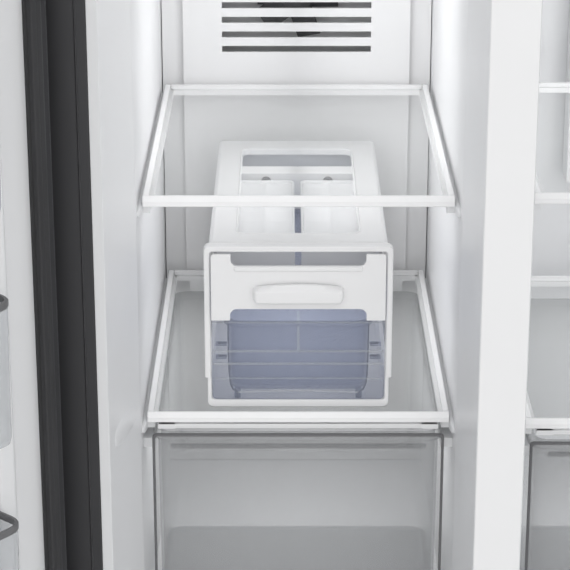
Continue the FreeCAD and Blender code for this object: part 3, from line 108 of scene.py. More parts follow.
def rubbed(tree, where, paint, bare):
    """The paint, worn through to another colour in patches along the edges."""
    bevel = new_node(tree, "ShaderNodeBevel", Radius=WORN_EDGE)
    bevel.samples = 4
    plain = tree.nodes.new("ShaderNodeNewGeometry").outputs["Normal"]
    flatness = multiplied(tree, "DOT_PRODUCT", bevel.outputs["Normal"], plain)
    edge = ranged(tree, flatness, 0.55, 0.0, 0.80, 0.99)
    patch = ranged(tree, noise(tree, where, 60.0, 4.0), 0.15, 1.0, 0.35, 0.65)
    return mixed(tree, multiplied(tree, "MULTIPLY", edge, patch), paint, bare)


def surface(
    name, colour, shade, roughness, grain, depth, stretch=(1, 1, 1), worn=None, alpha=None, **fixed
):
    """A procedural finish: slow colour drift, patchy gloss, fine grain, and rubbed edges where asked.

    The grain is a scale per metre and its depth is in metres. Alpha is the cover seen face on and at a
    grazing angle. What is fixed goes straight to the shader.
    """
    material = bpy.data.materials.new(name)
    material.use_nodes = True
    tree = material.node_tree
    shader = tree.nodes["Principled BSDF"]
    for socket, value in fixed.items():
        shader.inputs[socket.replace("_", " ")].default_value = value
    where = stretched(tree, (1, 1, 1))
    drift = ranged(tree, noise(tree, where, 5.0, 3.0), 0.0, 1.0, 0.25, 0.75)
    paint = mixed(tree, drift, colour, shade)
    if worn:
        paint = rubbed(tree, where, paint, worn)
    tree.links.new(paint, shader.inputs["Base Color"])
    gloss = ranged(tree, noise(tree, where, 14.0, 1.0), roughness[0], roughness[1], 0.2, 0.8)
    tree.links.new(gloss, shader.inputs["Roughness"])
    fine = noise(tree, stretched(tree, stretch), grain)
    bump = new_node(tree, "ShaderNodeBump", Height=fine, Strength=0.35, Distance=depth)
    tree.links.new(bump.outputs["Normal"], shader.inputs["Normal"])
    if alpha:
        facing = new_node(tree, "ShaderNodeLayerWeight", Blend=0.35).outputs["Facing"]
        tree.links.new(ranged(tree, facing, alpha[0], alpha[1], 0.0, 1.0), shader.inputs["Alpha"])
    return material


FINISHES = {
    "dark_steel": dict(
        colour=(0.034, 0.034, 0.037), shade=(0.038, 0.038, 0.041),
        roughness=(0.33, 0.39), grain=900.0, depth=0.00003,
        worn=(0.16, 0.16, 0.165), Metallic=0.35,
    ),
    "back_steel": dict(
        colour=(0.45, 0.46, 0.47), shade=(0.425, 0.435, 0.445),
        roughness=(0.40, 0.48), grain=420.0, depth=0.00003,
        worn=(0.62, 0.62, 0.63), Metallic=0.8,
    ),
    "zinc_steel": dict(
        colour=(0.52, 0.53, 0.54), shade=(0.42, 0.43, 0.45),
        roughness=(0.28, 0.5), grain=300.0, depth=0.00003,
        worn=(0.7, 0.7, 0.7), Metallic=0.9,
    ),
    "black_steel": dict(
        colour=(0.022, 0.022, 0.024), shade=(0.03, 0.03, 0.032),
        roughness=(0.3, 0.5), grain=700.0, depth=0.00004,
        worn=(0.12, 0.12, 0.12), Metallic=0.2,
    ),
    "white_liner": dict(
        colour=(0.80, 0.805, 0.815), shade=(0.785, 0.79, 0.80),
        roughness=(0.32, 0.36), grain=1300.0, depth=0.000008,
    ),
    "white_trim": dict(
        colour=(0.82, 0.82, 0.825), shade=(0.80, 0.80, 0.805),
        roughness=(0.30, 0.35), grain=1700.0, depth=0.000006,
    ),
    # A paler copy of the white trim plastic for the shelf mouldings: a painted highlight for the light they
    # catch.
    "painted_lit_trim": dict(
        colour=(0.93, 0.93, 0.935), shade=(0.91, 0.91, 0.915),
        roughness=(0.28, 0.33), grain=1700.0, depth=0.000006,
    ),
    "clear_glass": dict(
        colour=(0.80, 0.83, 0.83), shade=(0.77, 0.80, 0.80),
        roughness=(0.03, 0.06), grain=400.0, depth=0.000004,
        alpha=(0.02, 0.16),
    ),
    "smoke_drawer": dict(
        colour=(0.46, 0.47, 0.48), shade=(0.43, 0.44, 0.45),
        roughness=(0.14, 0.2), grain=900.0, depth=0.000006,
        alpha=(0.14, 0.5),
    ),
    "clear_bin": dict(
        colour=(0.72, 0.74, 0.76), shade=(0.66, 0.68, 0.70),
        roughness=(0.08, 0.14), grain=700.0, depth=0.000008,
        alpha=(0.20, 0.8),
    ),
    "blue_bucket": dict(
        colour=(0.275, 0.308, 0.41), shade=(0.26, 0.292, 0.39),
        roughness=(0.14, 0.2), grain=900.0, depth=0.000006,
        alpha=(0.28, 0.7),
    ),
    "tray_plastic": dict(
        colour=(0.76, 0.765, 0.775), shade=(0.74, 0.745, 0.755),
        roughness=(0.34, 0.42), grain=900.0, depth=0.00001,
    ),
    "gasket_rubber": dict(
        colour=(0.020, 0.020, 0.022), shade=(0.026, 0.026, 0.028),
        roughness=(0.50, 0.60), grain=1100.0, depth=0.00003,
    ),
    "black_plastic": dict(
        colour=(0.018, 0.018, 0.019), shade=(0.026, 0.026, 0.027),
        roughness=(0.42, 0.6), grain=1400.0, depth=0.00006,
        worn=(0.08, 0.08, 0.08),
    ),
    "grey_plastic": dict(
        colour=(0.12, 0.12, 0.125), shade=(0.15, 0.15, 0.155),
        roughness=(0.4, 0.55), grain=1200.0, depth=0.00005,
    ),
    "lamp_plastic": dict(
        colour=(0.86, 0.88, 0.90), shade=(0.82, 0.84, 0.87),
        roughness=(0.15, 0.25), grain=500.0, depth=0.00003,
    ),
    "fin_aluminium": dict(
        colour=(0.66, 0.67, 0.68), shade=(0.58, 0.59, 0.60),
        roughness=(0.25, 0.4), grain=700.0, depth=0.00003,
        Metallic=1.0,
    ),
    "handle_steel": dict(
        colour=(0.34, 0.34, 0.35), shade=(0.29, 0.29, 0.30),
        roughness=(0.22, 0.32), grain=1.0, depth=0.00003,
        stretch=(2600.0, 2600.0, 30.0), worn=(0.5, 0.5, 0.5), Metallic=1.0,
    ),
    "foam": dict(
        colour=(0.70, 0.60, 0.40), shade=(0.64, 0.53, 0.34),
        roughness=(0.7, 0.85), grain=350.0, depth=0.0003,
    ),
}
LOOKS = {name: surface(name, **finish) for name, finish in FINISHES.items()}


# ---------------- mesh making


SHARP = 0.02  # the radius of a corner that looks sharp
TINY = 1e-6


def arc_corners(corners, radii, steps=5):
    """A closed outline with every corner turned into an arc of its own radius."""
    points = []
    count = len(corners)
    for n, (corner, radius) in enumerate(zip(corners, radii)):
        here = Vector(corner)
        back = (Vector(corners[n - 1]) - here).normalized()
        ahead = (Vector(corners[(n + 1) % count]) - here).normalized()
        half = back.angle(ahead) / 2
        reach = radius / math.tan(half)
        centre = here + (back + ahead).normalized() * (radius / math.sin(half))
        first = here + back * reach - centre
        last = here + ahead * reach - centre
        turn = first.angle(last) if radius > 0 else 0.0
        sense = 1 if first.cross(last) > 0 else -1
        for step in range(steps + 1):
            angle = sense * turn * step / steps
            cosine, sine = math.cos(angle), math.sin(angle)
            spoke = Vector((first.x * cosine - first.y * sine, first.x * sine + first.y * cosine))
            points.append(centre + spoke)
    return points


def rectangle(x, y, radius, steps=5):
    """The outline of a rectangle with rounded corners, of one radius or of four."""
    radii = radius if isinstance(radius, tuple) else (radius,) * 4
    radii = tuple(max(value, SHARP) for value in radii)
    return arc_corners([(x[0], y[0]), (x[1], y[0]), (x[1], y[1]), (x[0], y[1])], radii, steps)


def shrunk(x, y, amount, radius, steps=5):
    """The outline of a rounded rectangle, moved in from its sides."""
    return rectangle((x[0] + amount, x[1] - amount), (y[0] + amount, y[1] - amount), radius, steps)


def moved_in(outline, amount):
    """An outline with every point moved inwards, square to its neighbours."""
    if amount <= 0:
        return list(outline)
    count = len(outline)
    area = sum(outline[n - 1][0] * outline[n][1] - outline[n][0] * outline[n - 1][1] for n in range(count))
    side = 1 if area > 0 else -1
    points = []
    for n in range(count):
        here = Vector(outline[n][:2])
        back = here - Vector(outline[n - 1][:2])
        ahead = Vector(outline[(n + 1) % count][:2]) - here
        back = back.normalized() if back.length > TINY else ahead.normalized()
        ahead = ahead.normalized() if ahead.length > TINY else back
        middle = (back + ahead).normalized()
        square = Vector((-middle.y, middle.x))
        lean = abs(Vector((-back.y, back.x)).dot(square))
        stretch = min(1 / max(lean, 0.5), 1.5)
        points.append(here + square * side * amount * stretch)
    return points


class Form:
    """A mesh being made, in millimetres."""

    def __init__(self):
        self.mesh = bmesh.new()

    def point(self, axis, u, v, w):
        """A vertex at a level along an axis, from the two other coordinates."""
        place = {"x": (w, u, v), "y": (u, w, v), "z": (u, v, w)}[axis]
        return self.mesh.verts.new(place)

    def ring(self, outline, axis, level):
        """The points of a plane outline, set across an axis at a level."""
        return [self.point(axis, u, v, level(u, v) if callable(level) else level) for u, v in outline]

    def skin(self, rings, loop=False):
        """Faces between neighbouring rings, shut at both ends or joined round."""
        pairs = list(zip(rings, rings[1:]))
        if loop:
            pairs.append((rings[-1], rings[0]))
        for low, high in pairs:
            for n in range(len(low)):
                after = (n + 1) % len(low)
                self.mesh.faces.new((low[n], low[after], high[after], high[n]))
        if not loop:
            self.mesh.faces.new(list(reversed(rings[0])))
            self.mesh.faces.new(rings[-1])
        return self

    def loft(self, axis, sections, loop=False):
        """A skin through outlines, shut at its ends or joined round on itself."""
        return self.skin([self.ring(outline, axis, level) for outline, level in sections], loop)

    def band(self, axis, outer, inner, low, high, ease=0.5):
        """A flat strip between two open outlines of as many points, its long edges rounded over."""
        rings = []
        for start, end in zip(outer, inner):
            start, end = Vector(start), Vector(end)
            step = (end - start).normalized() * ease
            corners = (
                (start + step, low),
                (start, low + ease),
                (start, high - ease),
                (start + step, high),
                (end - step, high),
                (end, high - ease),
                (end, low + ease),
                (end - step, low),
            )
            rings.append([self.point(axis, spot.x, spot.y, level) for spot, level in corners])
        return self.skin(rings)

    def prism(self, axis, outline, low, high, ease=0.5):
        """A bar of one cross-section with its two end edges rounded over."""
        ends = []
        for turn in (0.0, math.pi / 4, math.pi / 2):
            inset, rise = ease * (1 - math.sin(turn)), ease * (1 - math.cos(turn))
            ends.append((moved_in(outline, inset), rise))
        near = [(points, low + up) for points, up in ends]
        far = [(points, high - up) for points, up in reversed(ends)]
        return self.loft(axis, near + far)

    def block(self, x, y, z, radius=0.5):
        """A bar with rounded long edges, which run up Z."""
        return self.prism("z", rectangle(x, y, radius, 2), z[0], z[1])

    def rod(self, axis, centre, radius, low, high, sides=28):
        """A round bar along an axis, its ends rounded over."""
        turns = [math.tau * n / sides for n in range(sides)]
        ring = [(centre[0] + radius * math.cos(turn), centre[1] + radius * math.sin(turn)) for turn in turns]
        return self.prism(axis, ring, low, high)

    def make(self, name, look, body, stands_for=(), place=None, sharp=32):
        """The finished piece, in metres, riding on its body."""
        bmesh.ops.recalc_face_normals(self.mesh, faces=self.mesh.faces)
        self.mesh.transform(Matrix.Scale(MM, 4))
        if place is not None:
            self.mesh.transform(place)
        data = bpy.data.meshes.new(name)
        self.mesh.to_mesh(data)
        self.mesh.free()
        data.shade_smooth()
        data.set_sharp_from_angle(angle=math.radians(sharp))
        piece = bpy.data.objects.new(name, data)
        bpy.context.scene.collection.objects.link(piece)
        data.materials.append(LOOKS[look])
        even = piece.modifiers.new("even_shading", "WEIGHTED_NORMAL")
        even.keep_sharp = True
        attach(piece, body)
        if stands_for:
            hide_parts(*stands_for)
        return piece


def soften(piece, width):
    """A small rounding along the edges of a piece."""
    rounding = piece.modifiers.new("rounded_edges", "BEVEL")
    rounding.width = width * MM
    rounding.segments = 2
    rounding.limit_method = "ANGLE"
    rounding.angle_limit = math.radians(38)
    rounding.harden_normals = True


def limits(node):
    """The extent of a CAD node on each axis, in millimetres."""
    low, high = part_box(node)
    return [(low[n] / MM, high[n] / MM) for n in range(3)]


# ---------------- shelves

TRIM_HEIGHT = 11.2
TRIM_DEPTH = 6.0
PANE = 5.0  # more than the thickness of a glass pane, less than the distance between two shelves


def shelf_frame(form, x, y, level):
    """One frame: the front trim with its two facets, the side rails and the back rail."""
    front, back = y
    low = level - TRIM_HEIGHT
    nose = [
        (front + TRIM_DEPTH, level - 4.3),
        (front + 3.4, level - 4.3),
        (front + 3.4, level - 0.2),
        (front + 2.6, level),
        (front + 1.7, level - 0.5),
        (front + 0.1, level - 5.5),
        (front, level - 6.2),
        (front + 0.5, level - 7.0),
        (front + 0.5, low + 0.8),
        (front + 1.3, low),
        (front + TRIM_DEPTH, low),
    ]
    form.prism("x", nose, x[0], x[1])
    for inner, outer in ((x[0] + 10, x[0]), (x[1] - 10, x[1])):
        lip = 4 if outer < inner else -4
        side_rail = [
            (outer, level - 10),
            (inner, level - 10),
            (inner, level - 4.2),
            (inner - lip, level - 4.2),
            (inner - lip, level - 0.6),
            (inner - lip * 1.4, level),
            (outer + lip * 0.2, level),
            (outer, level - 0.8),
        ]
        form.prism("y", side_rail, front + TRIM_DEPTH - 1, back)
    back_rail = [
        (back - 10, level - 10),
        (back, level - 10),
        (back, level),
        (back - 6.2, level),
        (back - 6.2, level - 4.2),
        (back - 10, level - 4.2),
    ]
    form.prism("x", back_rail, x[0] + 7, x[1] - 7)


def shelf_levels(glass_node):
    """Heights of the glass tops in a node that holds one or more panes."""
    heights = sorted({round(vertex.co.z / MM, 1) for vertex in frame["nodes"][glass_node].data.vertices})
    return [high for low, high in zip(heights, heights[1:]) if high - low < PANE]


def shelves():
    """A moulded frame in place of each one of the CAD, at the height of its glass."""
    for node in [name for name in frame["nodes"] if "shelf_frame" in name]:
        x, y = limits(node)[:2]
        glass_node = node.replace("frames", "glasses").replace("frame", "glass")
        form = Form()
        for level in shelf_levels(glass_node):
            shelf_frame(form, x, y, level)
        # The moulding gets the paler trim look, a painted highlight.
        form.make(node.replace("_frame", "_moulding"), "painted_lit_trim", "cabinet", [node])


# ---------------- ice maker


def arch(x, foot, crown, radius):
    """An open line up one side, across and down the other, with its two corners rounded."""
    steps = 6
    corners = [(x[0], foot), (x[0], crown), (x[1], crown), (x[1], foot)]
    return arc_corners(corners, (SHARP, radius, radius, SHARP), steps)[steps:-steps]


def ice_housing():
    """The upper shell with its long mouth, and the bezel in front of it."""
    x, y, z = limits("ice_maker_housing")
    middle = sum(x) / 2
    low, top = z
    wide = (middle - 88, middle + 88)
    deep = (y[0] + 12, y[1])
    mouth_x = (middle - 60, middle + 60)
    mouth_y = (y[0] + 39, y[0] + 326)

    def foot(lintel):
        """The lower edge: the sides and the back reach down, the front ends under its top."""
        return lambda u, v: low if v > deep[0] + 6 else top - lintel

    def grown(amount, radius):
        return shrunk(mouth_x, mouth_y, -amount, radius)

    sections = [
        (rectangle(wide, deep, 3), foot(7)),
        (rectangle(wide, deep, 3), top - 5),
        (shrunk(wide, deep, 0.4, 3.5), top - 3.2),
        (shrunk(wide, deep, 1.5, 4), top - 1.4),
        (shrunk(wide, deep, 3.2, 5), top - 0.3),
        (shrunk(wide, deep, 5, 6), top),
        (grown(2.4, 10), top),
        (grown(2.0, 9.8), top + 0.5),
        (grown(1.2, 9), top + 0.9),
        (grown(0.3, 8.3), top + 0.6),
        (grown(0.0, 8), top - 0.4),
        (grown(0.0, 8), top - 6),
        (grown(1.6, 9), top - 6),
        (grown(1.6, 9), top - 3),
        (shrunk(wide, deep, 3, 3), top - 3),
        (shrunk(wide, deep, 3, 3), foot(4)),
    ]
    form = Form().loft("z", sections, loop=True)
    rim = 6.0
    outer = arch(x, low, top, 5.5)
    inner = arch((x[0] + rim, x[1] - rim), low, top - rim, 2.0)
    form.band("y", outer, inner, y[0], y[0] + 12, 1.0)
    form.make("ice_maker_shell", "white_trim", "ice_maker", ["ice_maker_housing"])


def ice_base():
    """The tray under the shell, open in front, with a stepped rim where the shell sits on it."""
    x, y, z = limits("ice_maker_base")
    low, top = z
    wall, floor = 4, low + 8
    outer = arch(x, top, low, 6)
    inner = arch((x[0] + wall, x[1] - wall), top, floor, 3)
    form = Form().band("y", outer, inner, y[0], y[1] - 3, 0.8)
    form.prism("y", rectangle((x[0] + 2, x[1] - 2), (low + 1, top), 3), y[1] - 4, y[1])
    for side in (x[0] + 16, x[1] - 16):
        form.rod("z", (side, y[0] + 24), 6, low, low + 2)
        form.rod("z", (side, y[1] - 24), 6, low, low + 2)
    form.make("ice_maker_tray", "white_trim", "ice_maker", ["ice_maker_base"])


LEVER_HALF = 44.0
LEVER_BAR_HALF = 39.36
LEVER_CAP = 4.6
PANEL_BACK = 12  # the back of the front panel, from the foremost point of the tray frame


def drawn_in(across, turn):
    """How far along a quarter turn a place near the lever's end is, from 0 to 1."""
    over = max(abs(across) - (LEVER_HALF - turn), 0.0) / turn
    return 1 - math.sqrt(max(1 - over**2, 0.0))


def lever_section(across, heel, nape):
    """The lever's cross-section at a distance from its middle, drawn in towards its rounded ends.

    The heel and the nape are how deep its back is at the bottom and at the top.
    """
    y, z = limits("ice_lever")[1:]
    front, top = y[0], z[1]
    crown = 3.4 * (1 - (across / LEVER_HALF) ** 2)
    nose = front + 3.5 * drawn_in(across, 3.5)
    sole = top - 18.3 + 6.0 * drawn_in(across, 6.0)
    brow = top - 4.4 - 2.0 * drawn_in(across, 3.5)
    return [
        (front + heel, sole - 1.5),
        (nose + 5, sole - 0.6),
        (nose + 2.2, sole + 0.1),
        (nose + 0.6, sole + 1.2),
        (nose, sole + 3.0),
        (nose + 0.2, brow - 1.8),
        (nose + 0.8, brow - 0.5),
        (nose + 2.0, brow + 0.3),
        (front + nape - 3, top - 2.4 + crown),
        (front + nape, top - 1.9 + crown),
    ]


def ice_panel():
    """The front panel with its two notches and the lip over the upper one."""
    x, y = limits("ice_tray_frame")[:2]
    middle = sum(x) / 2
    front, back = y[0] + 9, PANEL_BACK + y[0]
    top = limits("ice_maker_housing")[2][1] - 7
    low = top - 69
    half, notch, deep = 85.5, 66.0, 12
    corners = [
        (-half, low),
        (-notch - 1, low),
        (-notch - 1, low + deep),
        (notch + 1, low + deep),
        (notch + 1, low),
        (half, low),
        (half, top),
        (notch, top),
        (notch, top - deep),
        (-notch, top - deep),
        (-notch, top),
        (-half, top),
    ]
    radii = (0.8, 0.8, 6.5, 6.5, 0.8, 0.8, 3.5, 1.0, 6.0, 6.0, 1.0, 3.5)
    outline = [(middle + u, v) for u, v in arc_corners(corners, radii)]
    form = Form().prism("y", outline, front, back)
    lip_x, lip_z = (middle - notch + 3, middle + notch - 3), (top - 17.2, top - 12.6)
    form.loft("y", [
        (shrunk(lip_x, lip_z, 0.9, 1.4), front - 1.6),
        (rectangle(lip_x, lip_z, 2.0), front - 0.8),
        (rectangle(lip_x, lip_z, 2.0), front + 1),
    ])
    form.make("ice_maker_front_panel", "white_trim", "ice_maker")


def ice_carrier():
    """What holds both trays: two cross walls, two rails, the end caps of the lever and the rear bosses."""
    x, y = limits("ice_tray_frame")[:2]
    middle = sum(x) / 2
    rear = y[1]
    axis = limits("ice_maker_housing")[2][1] - 22
    wall, low, high = 80, axis - 12, axis + 17
    form = Form()
    corners = [(middle - wall, low), (middle + wall, low), (middle + wall, high), (middle - wall, high)]
    form.prism("y", arc_corners(corners, (2, 2, 4, 4), 4), rear - 26, rear)
    for side in (-1, 1):
        near, far = sorted((middle + side * 3.1, middle + side * wall))
        form.prism("y", rectangle((near, far), (low, high), 2, 4), y[0] + 46, y[0] + 49)
        rail = rectangle((middle + side * 82 - 3, middle + side * 82 + 3), (low, axis - 4), 1.2)
        form.prism("y", rail, PANEL_BACK + y[0], rear - 2)
        start, steps = LEVER_HALF - LEVER_CAP, 10
        turns = [n * math.pi / 2 / steps for n in range(steps + 1)]
        ends = [side * (start + LEVER_CAP * math.sin(turn)) for turn in turns]
        form.loft("x", [(lever_section(across, 14, 14), middle + across) for across in ends])
    form.make("ice_tray_carrier", "white_trim", "ice_maker", ["ice_tray_frame"])
    bosses = Form()
    for side in (-1, 1):
        bosses.rod("y", (middle + side * 33.5, axis + 8), 5.5, rear - 36, rear - 25.5)
    bosses.make("ice_tray_bosses", "grey_plastic", "ice_maker")


def ice_lever():
    """The crowned bar that twists the trays, between its two rounded end caps."""
    middle = sum(limits("ice_lever")[0]) / 2
    places = [LEVER_BAR_HALF * n / 10 for n in range(-10, 11)]
    form = Form().loft("x", [(lever_section(across, 8.8, 7.2), middle + across) for across in places])
    form.make("ice_tray_lever", "white_trim", "ice_lever", ["ice_lever"], sharp=50)


def ice_tray(side):
    """A twist tray: a rolled rim round two columns of soft dished cells."""
    node = f"ice_tray_{side}"
    x, y, z = limits(node)
    middle = sum(x) / 2
    x = (x[0] - 2.4, x[1] + 2.4)
    y = (y[0] + 6, y[1] - 22)
    low, top = z
    form = Form()
    deep_x, deep_y = (x[0] + 2, x[1] - 2), (y[0] + 2, y[1] - 2)
    form.loft("z", [
        (shrunk(deep_x, deep_y, 6, 4), low + 1.0),
        (shrunk(deep_x, deep_y, 3, 5), low + 3.0),
        (rectangle(deep_x, deep_y, 5), top - 4),
        (rectangle(x, y, 6), top - 4),
        (rectangle(x, y, 6), top - 1.2),
        (shrunk(x, y, 0.8, 5.2), top),
        (shrunk(x, y, 2.2, 4.2), top - 0.3),
        (shrunk(x, y, 3.0, 4), top - 1.6),
        (shrunk(x, y, 3.4, 4), top - 6),
    ])
    axis = (low + top) / 2
    form.rod("y", (middle, axis), 4, y[0] - 6, y[0] + 3)
    form.rod("y", (middle, axis), 2.4, y[1] - 3, y[1] + 14.8)
    form.make(f"ice_cube_tray_{side}", "tray_plastic", node, [node])
    inside = 2.8
    cells = ice_cells((x[0] + inside, x[1] - inside), (y[0] + inside, y[1] - inside), top)
    cells.make(f"ice_cube_cells_{side}", "tray_plastic", node, sharp=60)


def ice_cells(x, y, top):
    """The floor of a tray: two columns of six dishes, closed underneath."""
    cells = Form()
    columns, rows = 28, 72
    lines = []
    for row in range(rows + 1):
        across = []
        for column in range(columns + 1):
            over_x, over_y = column / columns, row / rows
            hollow = abs(math.sin(math.tau * over_x)) ** 0.7
            dish = hollow * (0.7 + 0.3 * abs(math.sin(6 * math.pi * over_y)) ** 0.5)
            spot = (x[0] + (x[1] - x[0]) * over_x, y[0] + (y[1] - y[0]) * over_y)
            across.append(cells.point("z", *spot, top - 1.8 - 2.2 * dish))
        lines.append(across)
    for near, far in zip(lines, lines[1:]):
        for n in range(columns):
            cells.mesh.faces.new((near[n], near[n + 1], far[n + 1], far[n]))
    right_side = [line[-1] for line in lines[1:]]
    left_side = [line[0] for line in lines[-2:0:-1]]
    brim = lines[0] + right_side + lines[-1][-2::-1] + left_side
    base = [cells.point("z", vertex.co.x, vertex.co.y, top - 5.6) for vertex in brim]
    for n in range(len(brim)):
        cells.mesh.faces.new((brim[n - 1], brim[n], base[n], base[n - 1]))
    cells.mesh.faces.new(base)
    return cells


BUCKET_STEP = 11.5  # how far the tongue of the ice bucket's front rises over its shoulders
BUCKET_FEET = 60.5  # how far the feet and the painted shade strips at them are from its middle


def bucket_front(middle, y, z):
    """The front plate with its raised tongue."""
    half, tongue = 85.5, 66
    low, step, top = z[0] + 0.5, z[1] - BUCKET_STEP, z[1]
    corners = [
        (-half, low),
        (half, low),
        (half, step),
        (tongue, step),
        (tongue, top),
        (-tongue, top),
        (-tongue, step),
        (-half, step),
    ]
    outline = [(middle + u, v) for u, v in arc_corners(corners, (5, 5, 0.8, 1.5, 6, 6, 1.5, 0.8))]
    Form().prism("y", outline, y[0], y[1]).make("ice_bucket_front", "blue_bucket", "ice_bucket")


def bucket_ribs(middle, front, top):
    """The level ribs, the crowned one and the upright one on the front plate, made in the paler clear bin
    plastic as painted highlights on the blue.
    """
    ribs = Form()
    for level, height, reach in ((691.0, 1.4, 0.9), (660.4, 2.2, 1.0), (647.0, 2.2, 1.0), (631.4, 1.2, 0.9)):
        wide, tall = (middle - 84.5, middle + 84.5), (level - height / 2, level + height / 2)
        rib = rectangle(wide, tall, 0.5, 2)
        ribs.loft("y", [
            (shrunk(wide, tall, 0.35, 0.3, 2), front - reach),
            (rib, front - reach * 0.4),
            (rib, front + 0.4),
        ])
    crowned = [(middle + across, 617.2 - 1.6 * (across / 60) ** 2) for across in range(-60, 61, 6)]
    ribs.band("y", crowned, [(u, v + 1.9) for u, v in crowned], front - 0.7, front + 0.4, 0.3)
    # Paler plastic than the bucket: painted highlights along the ribs.
    ribs.make("ice_bucket_highlight_ribs", "clear_bin", "ice_bucket")
    # The upright rib, also in the paler plastic: a painted highlight line.
    upright = rectangle((middle - 1.3, middle + 1.3), (661.5, top - 2), 0.8)
    centre = Form().prism("y", upright, front - 0.3, front + 0.4, 0.2)
    centre.make("ice_bucket_highlight_centre_rib", "clear_bin", "ice_bucket")


def bucket_shade_lines(middle, plate_back, low):
    """Dark grey strips along the joints where the box meets the back of the front plate, and at its feet and
    ledges: painted shade, where the blue plastic seen edge on looks dark.
    """
    shade_lines = Form()
    for side in (-1, 1):
        path = [(70.2, 689.0), (70.0, 655.0), (69.4, 636.0), (68.2, 624.0), (65.4, 617.4), (61.0, 614.2)]
        outer = [(middle + side * u, v) for u, v in path]
        inner = [(middle + side * (u - 1.5), v + (1.2 if v < 620 else 0.0)) for u, v in path]
        shade_lines.band("y", outer, inner, plate_back + 0.2, plate_back + 2.2, 0.3)
        across = middle + side * BUCKET_FEET
        thick = (plate_back + 0.3, plate_back + 3)
        shade_lines.block((across - 1.5, across + 1.5), thick, (low + 0.8, low + 7), 0.4)
        for level in (667.5, 654.0):
            near, far = sorted((middle + side * 71.0, middle + side * 79.5))
            shade_lines.block((near, far), thick, (level - 0.7, level + 0.7), 0.4)
    # Grey strips standing in for the dark look of the blue walls seen edge on: painted shade.
    shade_lines.make("ice_bucket_shade_lines", "grey_plastic", "ice_bucket")


def bucket_box(middle, y, z):
    """The box behind the front plate, with its feet and the ledges at its sides."""
    low, high = z[0], z[1] - BUCKET_STEP - 3
    plate_back = y[0]
    box_x, box_y = (middle - 70, middle + 70), (plate_back + 0.2, y[1])
    form = Form().loft("z", [
        (shrunk(box_x, box_y, 10, 9), low + 7),
        (shrunk(box_x, box_y, 4.5, 10), low + 8.5),
        (shrunk(box_x, box_y, 1.5, 11), low + 13),
        (shrunk(box_x, box_y, 0.5, 12), low + 40),
        (rectangle(box_x, box_y, 12), high - 5),
        (shrunk(box_x, box_y, -3.5, 13), high - 4),
        (shrunk(box_x, box_y, -3.5, 13), high - 1),
        (shrunk(box_x, box_y, -2.5, 12), high),
        (shrunk(box_x, box_y, 2.0, 11), high),
        (shrunk(box_x, box_y, 2.6, 10.5), high - 2),
        (shrunk(box_x, box_y, 3.4, 9.5), low + 40),
        (shrunk(box_x, box_y, 4.4, 8.5), low + 14),
        (shrunk(box_x, box_y, 8, 8), low + 10.5),
        (shrunk(box_x, box_y, 14, 6), low + 9.8),
    ])
    for side in (-1, 1):
        across = middle + side * BUCKET_FEET
        for foot in ((plate_back + 0.5, plate_back + 14), (y[1] - 24, y[1] - 8)):
            form.block((across - 3, across + 3), foot, (low + 0.6, low + 8), 1)
        across = middle + side * 76.5
        ledge = (plate_back + 0.3, plate_back + 8)
        for level in (665.5, 651.5):
            form.block((across - 5.5, across + 5.5), ledge, (level - 1.2, level + 1.2), 0.5)
    form.make("ice_bucket_box", "blue_bucket", "ice_bucket", ["ice_bucket"], sharp=50)


def ice_bucket():
    """The tinted ice drawer."""
    x, y, z = limits("ice_bucket")
    middle = sum(x) / 2
    front, plate_back = y[0], y[0] + 3
    bucket_front(middle, (front, plate_back), z)
    bucket_ribs(middle, front, z[1])
    bucket_shade_lines(middle, plate_back, z[0])
    bucket_box(middle, (plate_back, y[1]), z)


# ---------------- drawers


def drawer(node, body):
    """A see-through drawer: ribbed front with a pull lip, a box with soft corners and a hanging rim."""
    x, y, z = limits(node)
    low, top = z
    front = y[0]
    wide = (x[0] + 2.4, x[1] - 2.4)
    deep = (front + 4.2, y[1])
    form = Form().loft("z", [
        (shrunk(wide, deep, 9, 16), low),
        (shrunk(wide, deep, 4.5, 17), low + 2.2),
        (shrunk(wide, deep, 3.2, 17), low + 8),
        (shrunk(wide, deep, 1.8, 16), top - 9.5),
        (rectangle(x, deep, 17), top - 9),
        (rectangle(x, deep, 17), top - 1.2),
        (shrunk(x, deep, 0.9, 16.5), top),
        (shrunk(wide, deep, 3.8, 14), top),
        (shrunk(wide, deep, 4.8, 13), top - 1.4),
        (shrunk(wide, deep, 6.0, 13), low + 9),
        (shrunk(wide, deep, 7.6, 12), low + 4.2),
        (shrunk(wide, deep, 12, 10), low + 3),
    ])
    form.make(node + "_box", "smoke_drawer", body, [node], sharp=50)

    face = Form().loft("y", [
        (shrunk(x, z, 14, 6), front + 3.9),
        (shrunk(x, z, 4, 3), front + 3.9),
        (shrunk(x, z, 0.3, 3.5), front + 3.5),
        (rectangle(x, z, 4), front + 1.6),
        (shrunk(x, z, 0.7, 3.4), front + 0.5),
        (shrunk(x, z, 1.8, 3), front),
        (shrunk(x, z, 4.8, 3), front),
        (shrunk(x, z, 6.4, 4), front + 1.2),
        (shrunk(x, z, 14, 6), front + 1.3),
    ])
    pull = [(0.2, -15), (1.6, -16), (1.6, -10.5), (0.5, -11.5)]
    face.prism("x", [(front + u, top + v) for u, v in pull], x[0] + 18, x[1] - 18)
    face.make(node + "_front", "smoke_drawer", body)
    outline = Form().loft("y", [
        (shrunk(x, z, 2.6, 3), front + 0.3),
        (shrunk(x, z, 2.2, 3), front - 0.3),
        (shrunk(x, z, 0.4, 3.8), front - 0.1),
        (shrunk(x, z, -0.2, 4), front + 0.8),
        (shrunk(x, z, -0.2, 4), front + 2.8),
        (shrunk(x, z, 0.6, 4), front + 3.0),
    ], loop=True)
    outline.make(node + "_edge", "grey_plastic", body)


DRAWERS = ("freezer_upper_drawer", "freezer_lower_drawer", "crisper_upper_drawer", "crisper_lower_drawer")


# ---------------- doors

PIVOT = (446.0, -39.0)
OPEN = math.radians(130)


